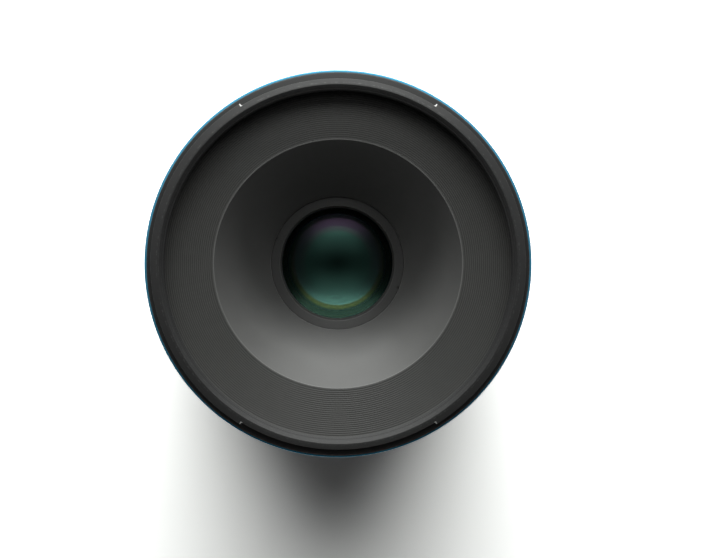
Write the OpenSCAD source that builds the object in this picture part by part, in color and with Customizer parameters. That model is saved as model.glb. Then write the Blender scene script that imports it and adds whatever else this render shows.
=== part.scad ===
// Macro lens with internal focusing, standing on its mount end with its optical axis along +Z.
// The origin is the centre of the mount flange; +Y is the side that carries the index line.

/* [Whole lens] */
// Height of the front rim above the mount flange
lens_length = 117; // [116.5:0.5:124]
// Depth of the trim plate below the front rim
plate_depth = 6; // [5.5:0.1:6.5]
// Depth of the front retaining ring below the front rim
glass_depth = 26; // [25:0.5:27]
// Radius of the smooth bands of the control rings
band_r = 36.2; // [36:0.1:36.4]
// Height of the ribs of the control rings
rib_h = 0.6; // [0.4:0.05:0.8]
// Wall of the control rings
control_wall = 2.62; // [2.5:0.02:2.8]
// Bevel on the outer edges of the rings
edge_bevel = 0.3; // [0.1:0.05:0.4]

/* [Fits] */
// Radial gap between fixed pieces that sit in each other
fit_gap = 0.02; // [0.01:0.005:0.04]
// Radial gap between pieces that turn or slide on each other
run_gap = 0.08; // [0.06:0.01:0.1]
// Gap between end faces that turn past each other
face_gap = 0.1; // [0.05:0.05:0.2]

/* [Mount] */
// How far the mount flange reaches past the neck of the main barrel
flange_reach = 1; // [0.6:0.1:1.4]
// Thickness of the mount flange
flange_t = 2; // [1.8:0.1:2.4]
// Wall of the spigot that enters the camera
spigot_wall = 2; // [1.8:0.1:2.2]
// Length of the spigot behind the flange
spigot_len = 5.2; // [4.8:0.1:5.6]
// How far the bayonet lugs stand out from the spigot
lug_reach = 1.1; // [0.8:0.1:1.2]
// Thickness of a bayonet lug
lug_t = 1.4; // [1.2:0.1:1.6]
// Space between the flange face and a lug
lug_gap = 3.2; // [3:0.1:3.4]
// Angle that one lug covers
lug_angle = 55; // [40:1:60]
// Width of the relief between the spigot and the bearing face
relief_w = 1.5; // [1.4:0.1:2]
// Depth of the relief inside the bearing face
relief_d = 0.3; // [0.2:0.1:0.5]
// From the axis of a mount screw to the neck's wall
mount_screw_edge = 1.2; // [1.1:0.05:1.4]
// From the axis of a mount screw to the inner edge of the bearing face
mount_screw_inset = 3; // [2.8:0.1:3.2]
// Radius of the lock pin pocket
lock_pocket_r = 1.6; // [1.4:0.1:1.8]
// Depth of the lock pin pocket
lock_pocket_d = 1.2; // [1:0.1:1.4]

/* [Screws] */
// Shank radius of the mount screws
mount_screw_r = 1; // [0.8:0.05:1.1]
// Head radius of the mount screws
mount_screw_head_r = 1.9; // [1.7:0.1:2]
// Head height of the mount screws
mount_screw_head_h = 1; // [0.8:0.1:1.1]
// Shank radius of the small screws
small_screw_r = 0.8; // [0.6:0.05:0.85]
// Head radius of the small screws
small_screw_head_r = 1.4; // [1.2:0.1:1.5]
// Head height of the small screws
small_screw_head_h = 0.8; // [0.6:0.05:0.85]

/* [Shells] */
// Wall of the main barrel
barrel_wall = 1.6; // [1.5:0.05:1.7]
// Step in radius from the inside of the main barrel to its rear neck
neck_step = 2.4; // [2:0.1:2.8]
// Wall of the rear neck
neck_wall = 2; // [1.6:0.1:2.4]
// Height of the step where the neck widens to the tube
step_z = 13; // [12.5:0.1:13.5]
// Thickness of that step
step_t = 1.5; // [1.3:0.1:1.7]
// Thickness of the rear plate of the main barrel
rear_plate_t = 3.5; // [3.2:0.1:4]
// How far the rear barrel stands out past the mount flange
tail_step = 1; // [0.8:0.1:1.4]
// Length of the straight tail of the rear barrel
tail_len = 3; // [2.5:0.1:3.2]
// Height of the front end of the rear barrel
rear_barrel_top = 23.6; // [22.5:0.1:24.5]
// Height of the fixed index ring
index_ring_h = 8.2; // [8:0.1:9]
// Length of the front barrel that sits in the main barrel
barrel_joint_len = 6; // [5:0.5:7]
// Radius of the mount index dot
index_dot_r = 0.9; // [0.7:0.1:1]

/* [Front ring] */
// Width of the front ring's shoulder
shoulder_w = 1.5; // [1.2:0.05:1.6]
// Height of that shoulder
shoulder_h = 2; // [1.6:0.1:2.2]
// How far the hood bayonet tabs stand out from the rim
tab_reach = 0.46; // [0.3:0.02:0.7]
// Thickness of the hood bayonet tabs
tab_t = 1.4; // [1.2:0.1:1.6]
// Groove between the tabs and the shoulder
hood_groove_w = 2.1; // [1.8:0.1:2.4]
// Angle of each cut-out between the tabs
cutout_angle = 63; // [50:1:70]
// Width of the rim's slope down to its outside
rim_slope_w = 0.35; // [0.2:0.05:0.5]
// Width of the flare from the filter thread to the rim
flare_w = 1.1; // [0.9:0.05:1.3]
// Wall from the rim's outside to the crest of the M67 x 0.75 filter thread
thread_wall = 2; // [1.8:0.05:2.2]
// Depth of the mouth in front of the thread
mouth_d = 1.1; // [0.9:0.1:1.3]

/* [Accent ring] */
// How far the accent ring stands out from the smooth bands
accent_step = 0.8; // [0.6:0.05:1.2]
// How far it stands out from the front ring's shoulder
accent_lip = 0.4; // [0.2:0.05:0.6]
// Height of the accent ring
accent_h = 3.3; // [2.8:0.1:3.6]
// Wall of the accent ring
accent_wall = 2; // [1.9:0.05:2.1]

/* [Trim plate and light cone] */
// Thickness of the trim plate
plate_t = 0.8; // [0.6:0.05:1]
// Pitch of the fine turned grooves
groove_pitch = 0.39; // [0.36:0.01:0.5]
// Depth of a turned groove
groove_d = 0.08; // [0.05:0.01:0.12]
// Width of the trim plate, from the filter thread to the mouth of the light cone
plate_w = 9.1; // [8.9:0.05:9.3]
// Radius of the small end of the light cone
cone_end_r = 13.2; // [13.18:0.02:13.3]
// Wall of the light cone, measured square to the axis
cone_wall = 1.4; // [1.2:0.1:1.5]
// Thickness of the flange that holds the light cone
cone_flange_t = 1.2; // [1:0.1:1.4]
// From the filter thread to the edge of that flange
cone_flange_inset = 0.9; // [0.7:0.05:1.1]
// Width of the lip of the cone that centres the trim plate
cone_lip = 0.25; // [0.2:0.05:0.3]

/* [Front group] */
// Radius of the front element
front_element_r = 12.6; // [12.4:0.05:12.7]
// Edge thickness of the front element
front_element_edge = 3; // [2.6:0.1:3.4]
// Curve of the front face of the front element
front_element_curve_r = 31; // [30:0.5:45]
// Curve of the hollow back of the front element
front_element_back_curve_r = 90; // [70:1:120]
// Radius of the elements behind it
inner_front_r = 12; // [11.8:0.05:12.1]
// Edge thickness of the second element
second_edge = 2; // [1.8:0.1:2.4]
// Curve of the front face of the second element
second_curve_r = 45; // [40:1:60]
// Curve of the cemented face
cement_curve_r = 30; // [28:0.5:40]
// Edge thickness of the third element
third_edge = 5.4; // [5.2:0.1:5.8]
// Curve of the hollow back of the third element
third_curve_r = 50; // [45:1:70]
// Edge thickness of the fourth element
fourth_edge = 2.5; // [2.3:0.1:2.7]
// Curve of the front face of the fourth element
fourth_curve_r = 35; // [32:1:50]
// Curve of the hollow back of the fourth element
fourth_back_curve_r = 60; // [50:1:90]
// Height of the front retaining ring
front_lock_h = 3.4; // [3.2:0.1:3.6]
// Radius of the clear opening of the front retaining ring
front_lock_in_r = 11.03; // [10.8:0.01:11.2]
// Bevel round that opening, and width of the spanner notches
front_lock_bevel = 0.4; // [0.3:0.05:0.5]
// Width of the flat edge round each element's polished face
edge_land = 0.8; // [0.6:0.05:0.9]
// Air between neighbouring elements on the axis
front_air = 0.4; // [0.3:0.05:0.5]
// Cement between bonded elements
cement_t = 0.02; // [0.01:0.005:0.03]
// Air between the outer tube of the front cell and the aperture link
cell_air = 1.3; // [1.2:0.05:1.5]
// Wall of the outer tube of the front cell
cell_wall = 1.5; // [1.3:0.05:1.6]
// Radius of the hub of the front cell
cell_hub_r = 14.8; // [14.6:0.1:15]
// From the inside of the main barrel to the edge of the front cell's flange
cell_flange_inset = 1.1; // [0.9:0.1:1.4]
// Thickness of the ledge that the flange sits on
ledge_t = 2; // [1.8:0.1:2.2]
// Thickness of the threaded ring behind the elements
front_lock_ring_t = 1.4; // [1.2:0.1:1.6]

/* [Iris] */
// Radius of the fully open iris
iris_open_r = 10.2; // [10:0.05:10.3]
// Width of a blade
blade_w = 4; // [3.9:0.05:4.1]
// Thickness of a blade
blade_t = 0.12; // [0.1:0.01:0.14]
// Height from one blade to the next
blade_pitch = 0.2; // [0.18:0.01:0.22]
// Angle from a blade's pivot to the start of its leaf
blade_start = 1; // [0.5:0.5:3]
// Angle that a blade's leaf spans
blade_span = 103; // [99:1:104]
// Radius of the circle of blade pivots
pivot_circle_r = 16.5; // [16.4:0.05:16.6]
// Radius of the drive pins with the iris open
drive_pin_circle_r = 15.5; // [15.4:0.05:15.6]
// Angle from a blade's pivot to its drive pin
drive_pin_angle = 25; // [24:0.5:26]
// Radius of the pivot and drive pins
blade_pin_r = 0.45; // [0.4:0.05:0.5]
// Clearance round the pins
pin_gap = 0.06; // [0.05:0.01:0.08]
// Angle that a blade turns from open to closed
blade_turn = 31; // [28:0.5:32]
// Inner radius of the rim round the drive ring
iris_rim_r = 18.2; // [18.1:0.05:18.4]
// Wall of that rim
iris_rim_wall = 1.4; // [1.2:0.1:1.6]
// Thickness of the iris base plate
iris_plate_t = 2; // [1.8:0.1:2.1]
// Thickness of the drive ring
drive_t = 1; // [0.8:0.1:1.2]
// Thickness of the clip ring
clip_t = 0.8; // [0.6:0.05:0.9]
// Space between the iris and the front cell
iris_air = 0.42; // [0.35:0.05:0.5]

/* [Aperture ring] */
// Height of the aperture ring
aperture_ring_h = 12; // [11.5:0.1:12.5]
// Height of its smooth band that carries the numbers
aperture_band_h = 5; // [4.5:0.1:5.5]
// Angle that the aperture ring turns
aperture_turn = 54; // [50:1:56]
// Number of ribs round the aperture ring
aperture_ribs = 80; // [60:1:90]
// Angle from +X to the aperture key with the iris open
aperture_key_angle = 200; // [190:1:210]
// Angle that the link to the iris covers
link_angle = 9; // [8:0.5:10]
// Thickness of the link
link_t = 1.5; // [1.3:0.1:1.6]

/* [Focusing] */
// Angle that the focus ring turns
focus_turn = 160; // [150:1:166]
// Travel of the middle group
middle_travel = 20; // [16:0.5:21]
// Travel of the inner group
inner_travel = 8; // [6:0.5:8.5]
// Wall of the cam sleeve
sleeve_wall = 1.57; // [1.4:0.01:1.6]
// Radius of the cam rollers
roller_r = 1.5; // [1.4:0.05:1.6]
// Clearance on each side of a roller in its slot
roller_gap = 0.07; // [0.05:0.01:0.09]
// Radius of the shank of the focus key
key_r = 1.5; // [1.3:0.1:1.6]
// Height of each smooth band of the focus ring
focus_band_h = 11; // [9:0.5:13]
// Wall of the focus ring under its grip
focus_wall = 1.5; // [1.4:0.05:1.6]
// Number of ribs round the focus grip
focus_ribs = 84; // [60:1:96]
// Wall of the skirt and hub of a moving carrier
skirt_wall = 1.8; // [1.6:0.1:2]
// Thickness of the web between them
web_t = 2.4; // [2.2:0.1:2.6]
// Space behind the inner group at rest
carrier_gap = 0.7; // [0.6:0.05:0.8]
// Thickness of the threaded ring on each moving stack of elements
focus_lock_t = 2; // [1.8:0.1:2.1]
// Thickness of the lip that a stack of elements sits on
seat_t = 1.2; // [1:0.1:1.3]

/* [Engraved marks] */
// Width of a mark
mark_w = 0.35; // [0.3:0.05:0.5]
// Depth of a mark
mark_d = 0.15; // [0.1:0.05:0.2]

/* [Middle group] */
// Radius of the elements of the middle group
middle_r = 14.5; // [14:0.1:15]
// Edge thickness of its rear element
middle_rear_edge = 3.2; // [3:0.1:3.3]
// Curve of both faces of its rear element
middle_rear_curve_r = 90; // [80:1:120]
// Edge thickness of its centre element
middle_centre_edge = 5.2; // [5.1:0.05:5.3]
// Curve of the back of its centre element
middle_centre_curve_r = 60; // [58:1:65]
// Curve of its cemented face
middle_cement_curve_r = 45; // [44:1:60]
// Edge thickness of its front element
middle_front_edge = 2; // [1.9:0.05:2.1]
// Curve of the front of its front element
middle_front_curve_r = 55; // [50:1:80]
// Length of the carrier's guide skirt
middle_len = 17.5; // [17:0.1:17.8]

/* [Inner group] */
// Radius of the elements of the inner group
inner_r = 15.5; // [15:0.1:16]
// Edge thickness of its rear element
inner_rear_edge = 3; // [2.9:0.05:3.05]
// Curve of the back of its rear element
inner_rear_curve_r = 80; // [70:1:120]
// Curve of the front of its rear element
inner_rear_front_curve_r = 100; // [95:1:140]
// Edge thickness of its front element
inner_front_edge = 3.4; // [3.3:0.05:3.45]
// Curve of both faces of its front element
inner_front_curve_r = 70; // [65:1:75]
// Length of the carrier's guide skirt
inner_len = 9.8; // [9.7:0.05:9.9]

/* [Rear group] */
// Wall of the rear cell
rear_cell_wall = 3; // [2.8:0.1:3.4]
// Edge thickness of the rearmost element
rear_edge = 3; // [2.8:0.1:3.2]
// Curve of both faces of the rearmost element
rear_curve_r = 60; // [58:1:80]
// Edge thickness of the element in front of it
rear_inner_edge = 4.6; // [4.4:0.1:4.7]
// Curve of its hollow back
rear_inner_curve_r = 50; // [46:1:52]
// Curve of its front
rear_inner_front_curve_r = 80; // [70:1:120]
// Air between the rear cell and the spigot
rear_cell_air = 0.3; // [0.2:0.05:0.5]
// Depth of the rear cell behind the flange
rear_cell_d = 3; // [2.8:0.1:3.2]
// Thickness of the rear cell's flange
rear_flange_t = 1.5; // [1.3:0.1:1.6]
// Thickness of the threaded ring on the rear elements
rear_lock_t = 1.8; // [1.6:0.1:2]
// Thickness of the rear light baffle
baffle_t = 1; // [0.8:0.1:1.2]
// Least width of the baffle round its window
baffle_rim = 1.2; // [1:0.1:2]
// Angle of the window's diagonal
baffle_diagonal = 35; // [33.7:0.1:37]

/* [Hidden] */
$fn = 128;
overrun = 1;          // how far a cutter runs past what it cuts
radian = 180 / PI;    // degrees in a radian
index_angle = 90;     // side of the lens that carries the index line
screw_angle = 150;    // first of three screws round a barrel
notch_angle = 158;    // first of two spanner notches
blade_count = 9;      // one node for each blade
roller_count = 3;
cam_steps = 20;
cam_overlap = 1.1;    // each length of cam slot reaches this share into the next

// Heights, worked down from the front rim
rim_z = lens_length;
plate_z = rim_z - plate_depth;
plate_seat_z = plate_z - plate_t;
cone_seat_z = plate_seat_z - cone_flange_t;
ring_top_z = rim_z - glass_depth;
shoulder_z = rim_z - tab_t - hood_groove_w;
shoulder_bottom_z = shoulder_z - shoulder_h;
accent_bottom_z = shoulder_bottom_z - accent_h;
aperture_top_z = accent_bottom_z - face_gap;
aperture_bottom_z = aperture_top_z - aperture_ring_h;
joint_z = aperture_bottom_z - face_gap;
index_bottom_z = joint_z - index_ring_h;
focus_top_z = index_bottom_z - face_gap;
focus_bottom_z = rear_barrel_top + face_gap;

// Radii, worked inward from the smooth bands of the control rings
rib_r = band_r + rib_h;
ring_in_r = band_r - control_wall;
barrel_r = ring_in_r - run_gap;
barrel_in_r = barrel_r - barrel_wall;
fixed_in_r = barrel_r + fit_gap;

// Front end, worked inward from the accent ring
accent_r = band_r + accent_step;
shoulder_r = accent_r - accent_lip;
hood_seat_r = shoulder_r - shoulder_w;
tab_r = hood_seat_r + tab_reach;
rim_flat_r = hood_seat_r - rim_slope_w;
thread_r = hood_seat_r - thread_wall;
rim_in_r = thread_r + flare_w;
cone_mouth_r = thread_r - plate_w;
cone_flange_r = thread_r - cone_flange_inset;

// Rear end, worked inward from the neck of the main barrel
neck_r = barrel_in_r - neck_step;
flange_r = neck_r + flange_reach;
tail_r = flange_r + tail_step;
mount_screw_circle_r = neck_r - neck_wall - mount_screw_edge;
relief_r = mount_screw_circle_r - mount_screw_inset;
spigot_r = relief_r - relief_w;
spigot_bore_r = spigot_r - spigot_wall;
lug_r = spigot_r + lug_reach;
rear_cell_r = spigot_bore_r - rear_cell_air;
rear_r = rear_cell_r - rear_cell_wall;
baffle_w = 2 * (rear_cell_r - baffle_rim) * cos(baffle_diagonal);
baffle_h = 2 * (rear_cell_r - baffle_rim) * sin(baffle_diagonal);

// Depth of a polished face of curve radius curve over radius r
function sag(curve, r) = curve - sqrt(curve * curve - r * r);

// Front group, each element by the height of its rear edge
front_land_r = front_element_r - edge_land;
inner_land_r = inner_front_r - edge_land;
front_element_top = ring_top_z - front_lock_h;
front_element_z = front_element_top - front_element_edge;
cell_seat_t = sag(second_curve_r, inner_land_r) - sag(front_element_back_curve_r, front_land_r) + front_air;
second_z = front_element_z - cell_seat_t - second_edge;
third_z = second_z - cement_t - third_edge;
spacer_t = sag(fourth_curve_r, inner_land_r) - sag(third_curve_r, inner_land_r) + front_air;
fourth_z = third_z - spacer_t - fourth_edge;
cell_bottom_z = fourth_z - front_lock_ring_t;
cell_bore_r = inner_front_r + fit_gap;
cell_top_z = ring_top_z - mouth_d;
lock_r = cone_end_r - 2 * fit_gap;
cone_foot_z = ring_top_z - mouth_d / 2;

// Iris, worked down from the front cell
clip_lip = edge_bevel;
iris_rim_top = cell_bottom_z - iris_air;
clip_z = iris_rim_top - clip_lip - clip_t;
drive_z = clip_z - face_gap - drive_t;
blade_lift = blade_t / 2;
blade_stack_h = (blade_count - 1) * blade_pitch + blade_t;
iris_floor_z = drive_z - blade_lift - blade_stack_h - blade_lift;
iris_plate_z = iris_floor_z - iris_plate_t;
drive_r = iris_rim_r - run_gap;
drive_in_r = iris_open_r + fit_gap;
clip_groove_d = clip_t / 2;
iris_screw_z = iris_plate_z + iris_plate_t / 2;
index_screw_z = index_bottom_z + index_ring_h / 4;

// Aperture ring and its link
aperture_key_z = aperture_bottom_z + aperture_band_h + key_r + edge_bevel;
ledge_z = aperture_key_z + key_r + edge_bevel;
front_bore_r = barrel_in_r - barrel_wall;
link_out_r = front_bore_r - link_t;
link_in_r = link_out_r - link_t;
cell_tube_r = link_in_r - cell_air;
cell_flange_r = barrel_in_r - cell_flange_inset;
cell_flange_z = ledge_z + ledge_t;
cell_flange_t = (cone_seat_z - cell_flange_z) - small_screw_head_h - face_gap;
ledge_in_r = cell_tube_r + 2 * run_gap;
cell_screw_circle_r = (ledge_in_r + front_bore_r) / 2;

// Focusing
sleeve_r = barrel_in_r - run_gap;
sleeve_in_r = sleeve_r - sleeve_wall;
carrier_r = sleeve_in_r - run_gap;
sleeve_bottom_z = step_z + step_t + face_gap;
sleeve_top_z = iris_plate_z - face_gap;
inner_z = step_z + step_t + carrier_gap;
middle_z = inner_z + inner_len + face_gap * 3;
inner_roller_z = inner_z + inner_len * 0.69;
middle_roller_z = middle_z + middle_len / 2;
middle_roller_angle = 90;
inner_roller_angle = 30;
slot_end = roller_r + roller_gap * 4;
focus_key_z = sleeve_top_z - key_r - barrel_wall;
focus_key_angle = 190;

// Moving groups, each element by the height of its rear edge
middle_rear_z = middle_z + seat_t;
middle_centre_z = middle_rear_z + middle_rear_edge;
middle_front_z = middle_centre_z + middle_centre_edge + cement_t;
middle_lock_z = middle_front_z + middle_front_edge;
inner_rear_z = inner_z + seat_t;
inner_front_z = inner_rear_z + inner_rear_edge;
inner_lock_z = inner_front_z + inner_front_edge;

// Rear group
rear_element_z = -rear_cell_d + seat_t;
rear_inner_z = rear_element_z + rear_edge;
rear_lock_z = rear_inner_z + rear_inner_edge;
rear_flange_z = flange_t + rear_plate_t;
rear_screw_circle_r = (rear_cell_r + neck_r - neck_wall) / 2 - mount_screw_r;

// Focus ring and grip
grip_z0 = focus_bottom_z + focus_band_h;
grip_z1 = focus_top_z - focus_band_h;
grip_seat_r = ring_in_r + focus_wall;

// Scales: angle from the index at rest, one mark each
focus_mark_shares = [0, 0.16, 0.36, 0.54, 0.7, 0.84, 1];
aperture_stops = 7;
index_mark_len = index_ring_h / 2;

// Rib outline: share of the pitch, share of the rib height
rib_shares = [[0, 0], [0.3, 0], [0.4, 1], [0.9, 1]];

module rod(r, z0, z1) {
    translate([0, 0, z0])
        cylinder(r = r, h = z1 - z0);
}

module lathe(points) {
    rotate_extrude()
        polygon(points);
}

module tube(r_in, r_out, z0, z1) {
    lathe([[r_in, z0], [r_out, z0], [r_out, z1], [r_in, z1]]);
}

module sector(r_in, r_out, z0, z1, start, angle) {
    rotate([0, 0, start])
        rotate_extrude(angle = angle)
            polygon([[r_in, z0], [r_out, z0], [r_out, z1], [r_in, z1]]);
}

module around(count, start = 0) {
    for (i = [0 : count - 1])
        rotate([0, 0, start + i * 360 / count])
            children();
}

// A round bar along +X from radius r0 to radius r1 at height z
module radial_rod(r, r0, r1, z) {
    translate([r0, 0, z])
        rotate([0, 90, 0])
            cylinder(r = r, h = r1 - r0);
}

// Screw with its head from z = 0 up and a cross recess
module cross_screw(head_r, head_h, shank_r, shank_len) {
    difference() {
        union() {
            cylinder(r = head_r, h = head_h);
            translate([0, 0, -shank_len])
                cylinder(r = shank_r, h = shank_len + head_h / 2);
        }
        for (a = [0, 90])
            rotate([0, 0, a])
                translate([-head_r * 0.6, -head_r * 0.11, head_h / 2])
                    cube([head_r * 1.2, head_r * 0.22, head_h]);
    }
}

// Headless screw along +Z with a slot in its upper end
module grub_screw(r, len) {
    difference() {
        cylinder(r = r, h = len);
        translate([-r - overrun, -r * 0.15, len - r * 0.6])
            cube([2 * (r + overrun), r * 0.3, r + overrun]);
    }
}

// Threaded ring with two spanner notches in its top
module lock_ring(r_in, r_out, z0, t) {
    difference() {
        tube(r_in, r_out, z0, z0 + t);
        around(2)
            translate([(r_in + r_out) / 2, -t * 0.3, z0 + t * 0.6])
                cube([r_out, t * 0.6, t]);
    }
}

// Glass element: a positive curve bulges outward, a negative one is hollow
module element(r, edge, z0, front, back) {
    land_r = r - edge_land;
    top = z0 + edge;
    difference() {
        union() {
            rod(r, z0, top);
            if (front > 0)
                intersection() {
                    rod(land_r + edge_land / 2, top - edge_land, top + sag(front, land_r) + overrun);
                    translate([0, 0, top + sag(front, land_r) - front])
                        sphere(r = front);
                }
            if (back > 0)
                intersection() {
                    rod(land_r + edge_land / 2, z0 - sag(back, land_r) - overrun, z0 + edge_land);
                    translate([0, 0, z0 - sag(back, land_r) + back])
                        sphere(r = back);
                }
        }
        if (front < 0)
            translate([0, 0, top - sag(-front, land_r) - front])
                sphere(r = -front);
        if (back < 0)
            translate([0, 0, z0 + sag(-back, land_r) + back])
                sphere(r = -back);
    }
}

// Ribbed band, as an outline run up the axis
function rib_outline(count, low, high) = [
    for (i = [0 : count - 1])
        for (s = rib_shares)
            let (a = (i + s[0]) * 360 / count, r = low + (high - low) * s[1])
                [r * cos(a), r * sin(a)]
];

module ribbed_band(count, r_in, low, high, z0, z1) {
    translate([0, 0, z0])
        linear_extrude(z1 - z0)
            difference() {
                polygon(rib_outline(count, low, high));
                circle(r = r_in);
            }
}

// Short line cut into a ring's outside, along the axis
module scale_mark(r, angle, z0, len) {
    rotate([0, 0, angle])
        translate([r - mark_d, -mark_w / 2, z0])
            cube([mark_d + overrun, mark_w, len]);
}

// Mount

module bayonet_mount() {
    color("silver") {
        difference() {
            union() {
                lathe([
                    [spigot_bore_r, -spigot_len],
                    [spigot_r - edge_bevel, -spigot_len],
                    [spigot_r, -spigot_len + edge_bevel],
                    [spigot_r, relief_d],
                    [relief_r, relief_d],
                    [relief_r, 0],
                    [flange_r - edge_bevel, 0],
                    [flange_r, edge_bevel],
                    [flange_r, flange_t],
                    [spigot_bore_r, flange_t]
                ]);
                around(3, index_angle - lug_angle / 2)
                    sector((spigot_bore_r + spigot_r) / 2, lug_r, -lug_gap - lug_t, -lug_gap, 0, lug_angle);
            }
            around(4, 45)
                translate([mount_screw_circle_r, 0, 0]) {
                    rod(mount_screw_r + pin_gap, -overrun, flange_t + overrun);
                    rod(mount_screw_head_r + pin_gap, -overrun, mount_screw_head_h + face_gap);
                }
            translate([-mount_screw_circle_r, 0, 0])
                rod(lock_pocket_r, -overrun, lock_pocket_d);
        }
    }
}

module mount_screws() {
    color("lightgray")
        around(4, 45)
            translate([mount_screw_circle_r, 0, mount_screw_head_h + face_gap])
                rotate([180, 0, 0])
                    cross_screw(mount_screw_head_r, mount_screw_head_h, mount_screw_r,
                        flange_t + rear_plate_t - mount_screw_head_h - edge_bevel);
}

module mount_index_dot() {
    color("white")
        rotate([0, 0, index_angle])
            radial_rod(index_dot_r, tail_r - index_dot_r, tail_r + edge_bevel / 2, flange_t + tail_len / 2);
}

module rear_light_baffle() {
    corner = baffle_t * 2;
    color("black")
        difference() {
            rod(rear_cell_r, -rear_cell_d - baffle_t, -rear_cell_d);
            translate([0, 0, -rear_cell_d - baffle_t - overrun])
                linear_extrude(baffle_t + 2 * overrun) {
                    square([baffle_w - 2 * corner, baffle_h], center = true);
                    square([baffle_w, baffle_h - 2 * corner], center = true);
                    for (x = [-1, 1], y = [-1, 1])
                        translate([x * (baffle_w / 2 - corner), y * (baffle_h / 2 - corner)])
                            circle(r = corner);
                }
        }
}

// Outer shells and barrels

module rear_barrel() {
    z0 = flange_t + fit_gap;
    color([0.1, 0.1, 0.1])
        difference() {
            lathe([
                [neck_r + fit_gap, z0],
                [tail_r - edge_bevel, z0],
                [tail_r, z0 + edge_bevel],
                [tail_r, flange_t + tail_len],
                [band_r, step_z],
                [band_r, rear_barrel_top - edge_bevel],
                [band_r - edge_bevel, rear_barrel_top],
                [fixed_in_r, rear_barrel_top],
                [fixed_in_r, step_z],
                [neck_r + fit_gap, step_z]
            ]);
            rotate([0, 0, index_angle])
                radial_rod(index_dot_r + fit_gap, tail_r - index_dot_r, tail_r + overrun,
                    flange_t + tail_len / 2);
        }
}

module main_barrel() {
    color([0.35, 0.35, 0.36])
        difference() {
            lathe([
                [rear_cell_r + 0.7 * baffle_t, flange_t],
                [neck_r, flange_t],
                [neck_r, step_z],
                [barrel_r, step_z],
                [barrel_r, joint_z],
                [barrel_in_r, joint_z],
                [barrel_in_r, step_z + step_t],
                [neck_r - neck_wall, step_z + step_t],
                [neck_r - neck_wall, flange_t + rear_plate_t],
                [rear_cell_r + 0.7 * baffle_t, flange_t + rear_plate_t]
            ]);
            around(4, 45)
                translate([mount_screw_circle_r, 0, 0])
                    rod(mount_screw_r + fit_gap, 0, flange_t + rear_plate_t + overrun);
            around(3, 90)
                translate([rear_screw_circle_r, 0, 0])
                    rod(small_screw_r + fit_gap, flange_t + edge_bevel, flange_t + rear_plate_t + overrun);
            around(roller_count, middle_roller_angle)
                guide_slot(middle_roller_z, middle_travel);
            around(roller_count, inner_roller_angle)
                guide_slot(inner_roller_z, inner_travel);
            key_slot(barrel_in_r, barrel_r, focus_key_z, focus_key_angle, focus_turn);
            around(3, screw_angle) {
                radial_rod(small_screw_r + fit_gap, barrel_in_r - overrun, barrel_r + overrun, iris_screw_z);
                radial_rod(small_screw_r + fit_gap, barrel_in_r + barrel_wall / 2, barrel_r + overrun,
                    index_screw_z);
            }
        }
}

// Straight slot along the axis, for one cam roller
module guide_slot(z, travel) {
    half = roller_r + roller_gap;
    translate([barrel_in_r - overrun, -half, z - slot_end])
        cube([barrel_wall + 2 * overrun, 2 * half, travel + 2 * slot_end]);
}

// Slot round the barrel, for a key that turns through an angle
module key_slot(r_in, r_out, z, start, turn) {
    half = key_r + roller_gap;
    play = half / r_in * radian;
    sector(r_in - overrun, r_out + overrun, z - half, z + half, start - play, turn + 2 * play);
}

module index_ring() {
    color([0.1, 0.1, 0.1])
        difference() {
            lathe([
                [fixed_in_r, index_bottom_z],
                [band_r - edge_bevel, index_bottom_z],
                [band_r, index_bottom_z + edge_bevel],
                [band_r, joint_z - edge_bevel],
                [band_r - edge_bevel, joint_z],
                [fixed_in_r, joint_z]
            ]);
            scale_mark(band_r, index_angle, index_bottom_z + index_mark_len / 2, index_mark_len);
            around(3, screw_angle)
                radial_rod(small_screw_r + fit_gap, fixed_in_r - overrun, band_r + overrun, index_screw_z);
        }
}

module index_ring_screws() {
    len = band_r - barrel_r + barrel_wall / 2 - mark_d;
    color("dimgray")
        around(3, screw_angle)
            translate([barrel_in_r + barrel_wall / 2, 0, index_screw_z])
                rotate([0, 90, 0])
                    grub_screw(small_screw_r, len);
}

module front_barrel() {
    z0 = joint_z - barrel_joint_len;
    color([0.3, 0.3, 0.31])
        difference() {
            lathe([
                [front_bore_r, z0],
                [barrel_in_r - fit_gap, z0],
                [barrel_in_r - fit_gap, joint_z],
                [barrel_r, joint_z],
                [barrel_r, plate_seat_z],
                [cone_flange_r + fit_gap, plate_seat_z],
                [cone_flange_r + fit_gap, cone_seat_z],
                [cell_flange_r + fit_gap, cone_seat_z],
                [cell_flange_r + fit_gap, cell_flange_z],
                [ledge_in_r, cell_flange_z],
                [ledge_in_r, ledge_z],
                [front_bore_r, ledge_z]
            ]);
            key_slot(front_bore_r, barrel_r, aperture_key_z, aperture_key_angle, aperture_turn);
            around(3, 90)
                translate([cell_screw_circle_r, 0, 0])
                    rod(small_screw_r + fit_gap, ledge_z - overrun, cell_flange_z + overrun);
        }
}

// Front end

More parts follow.
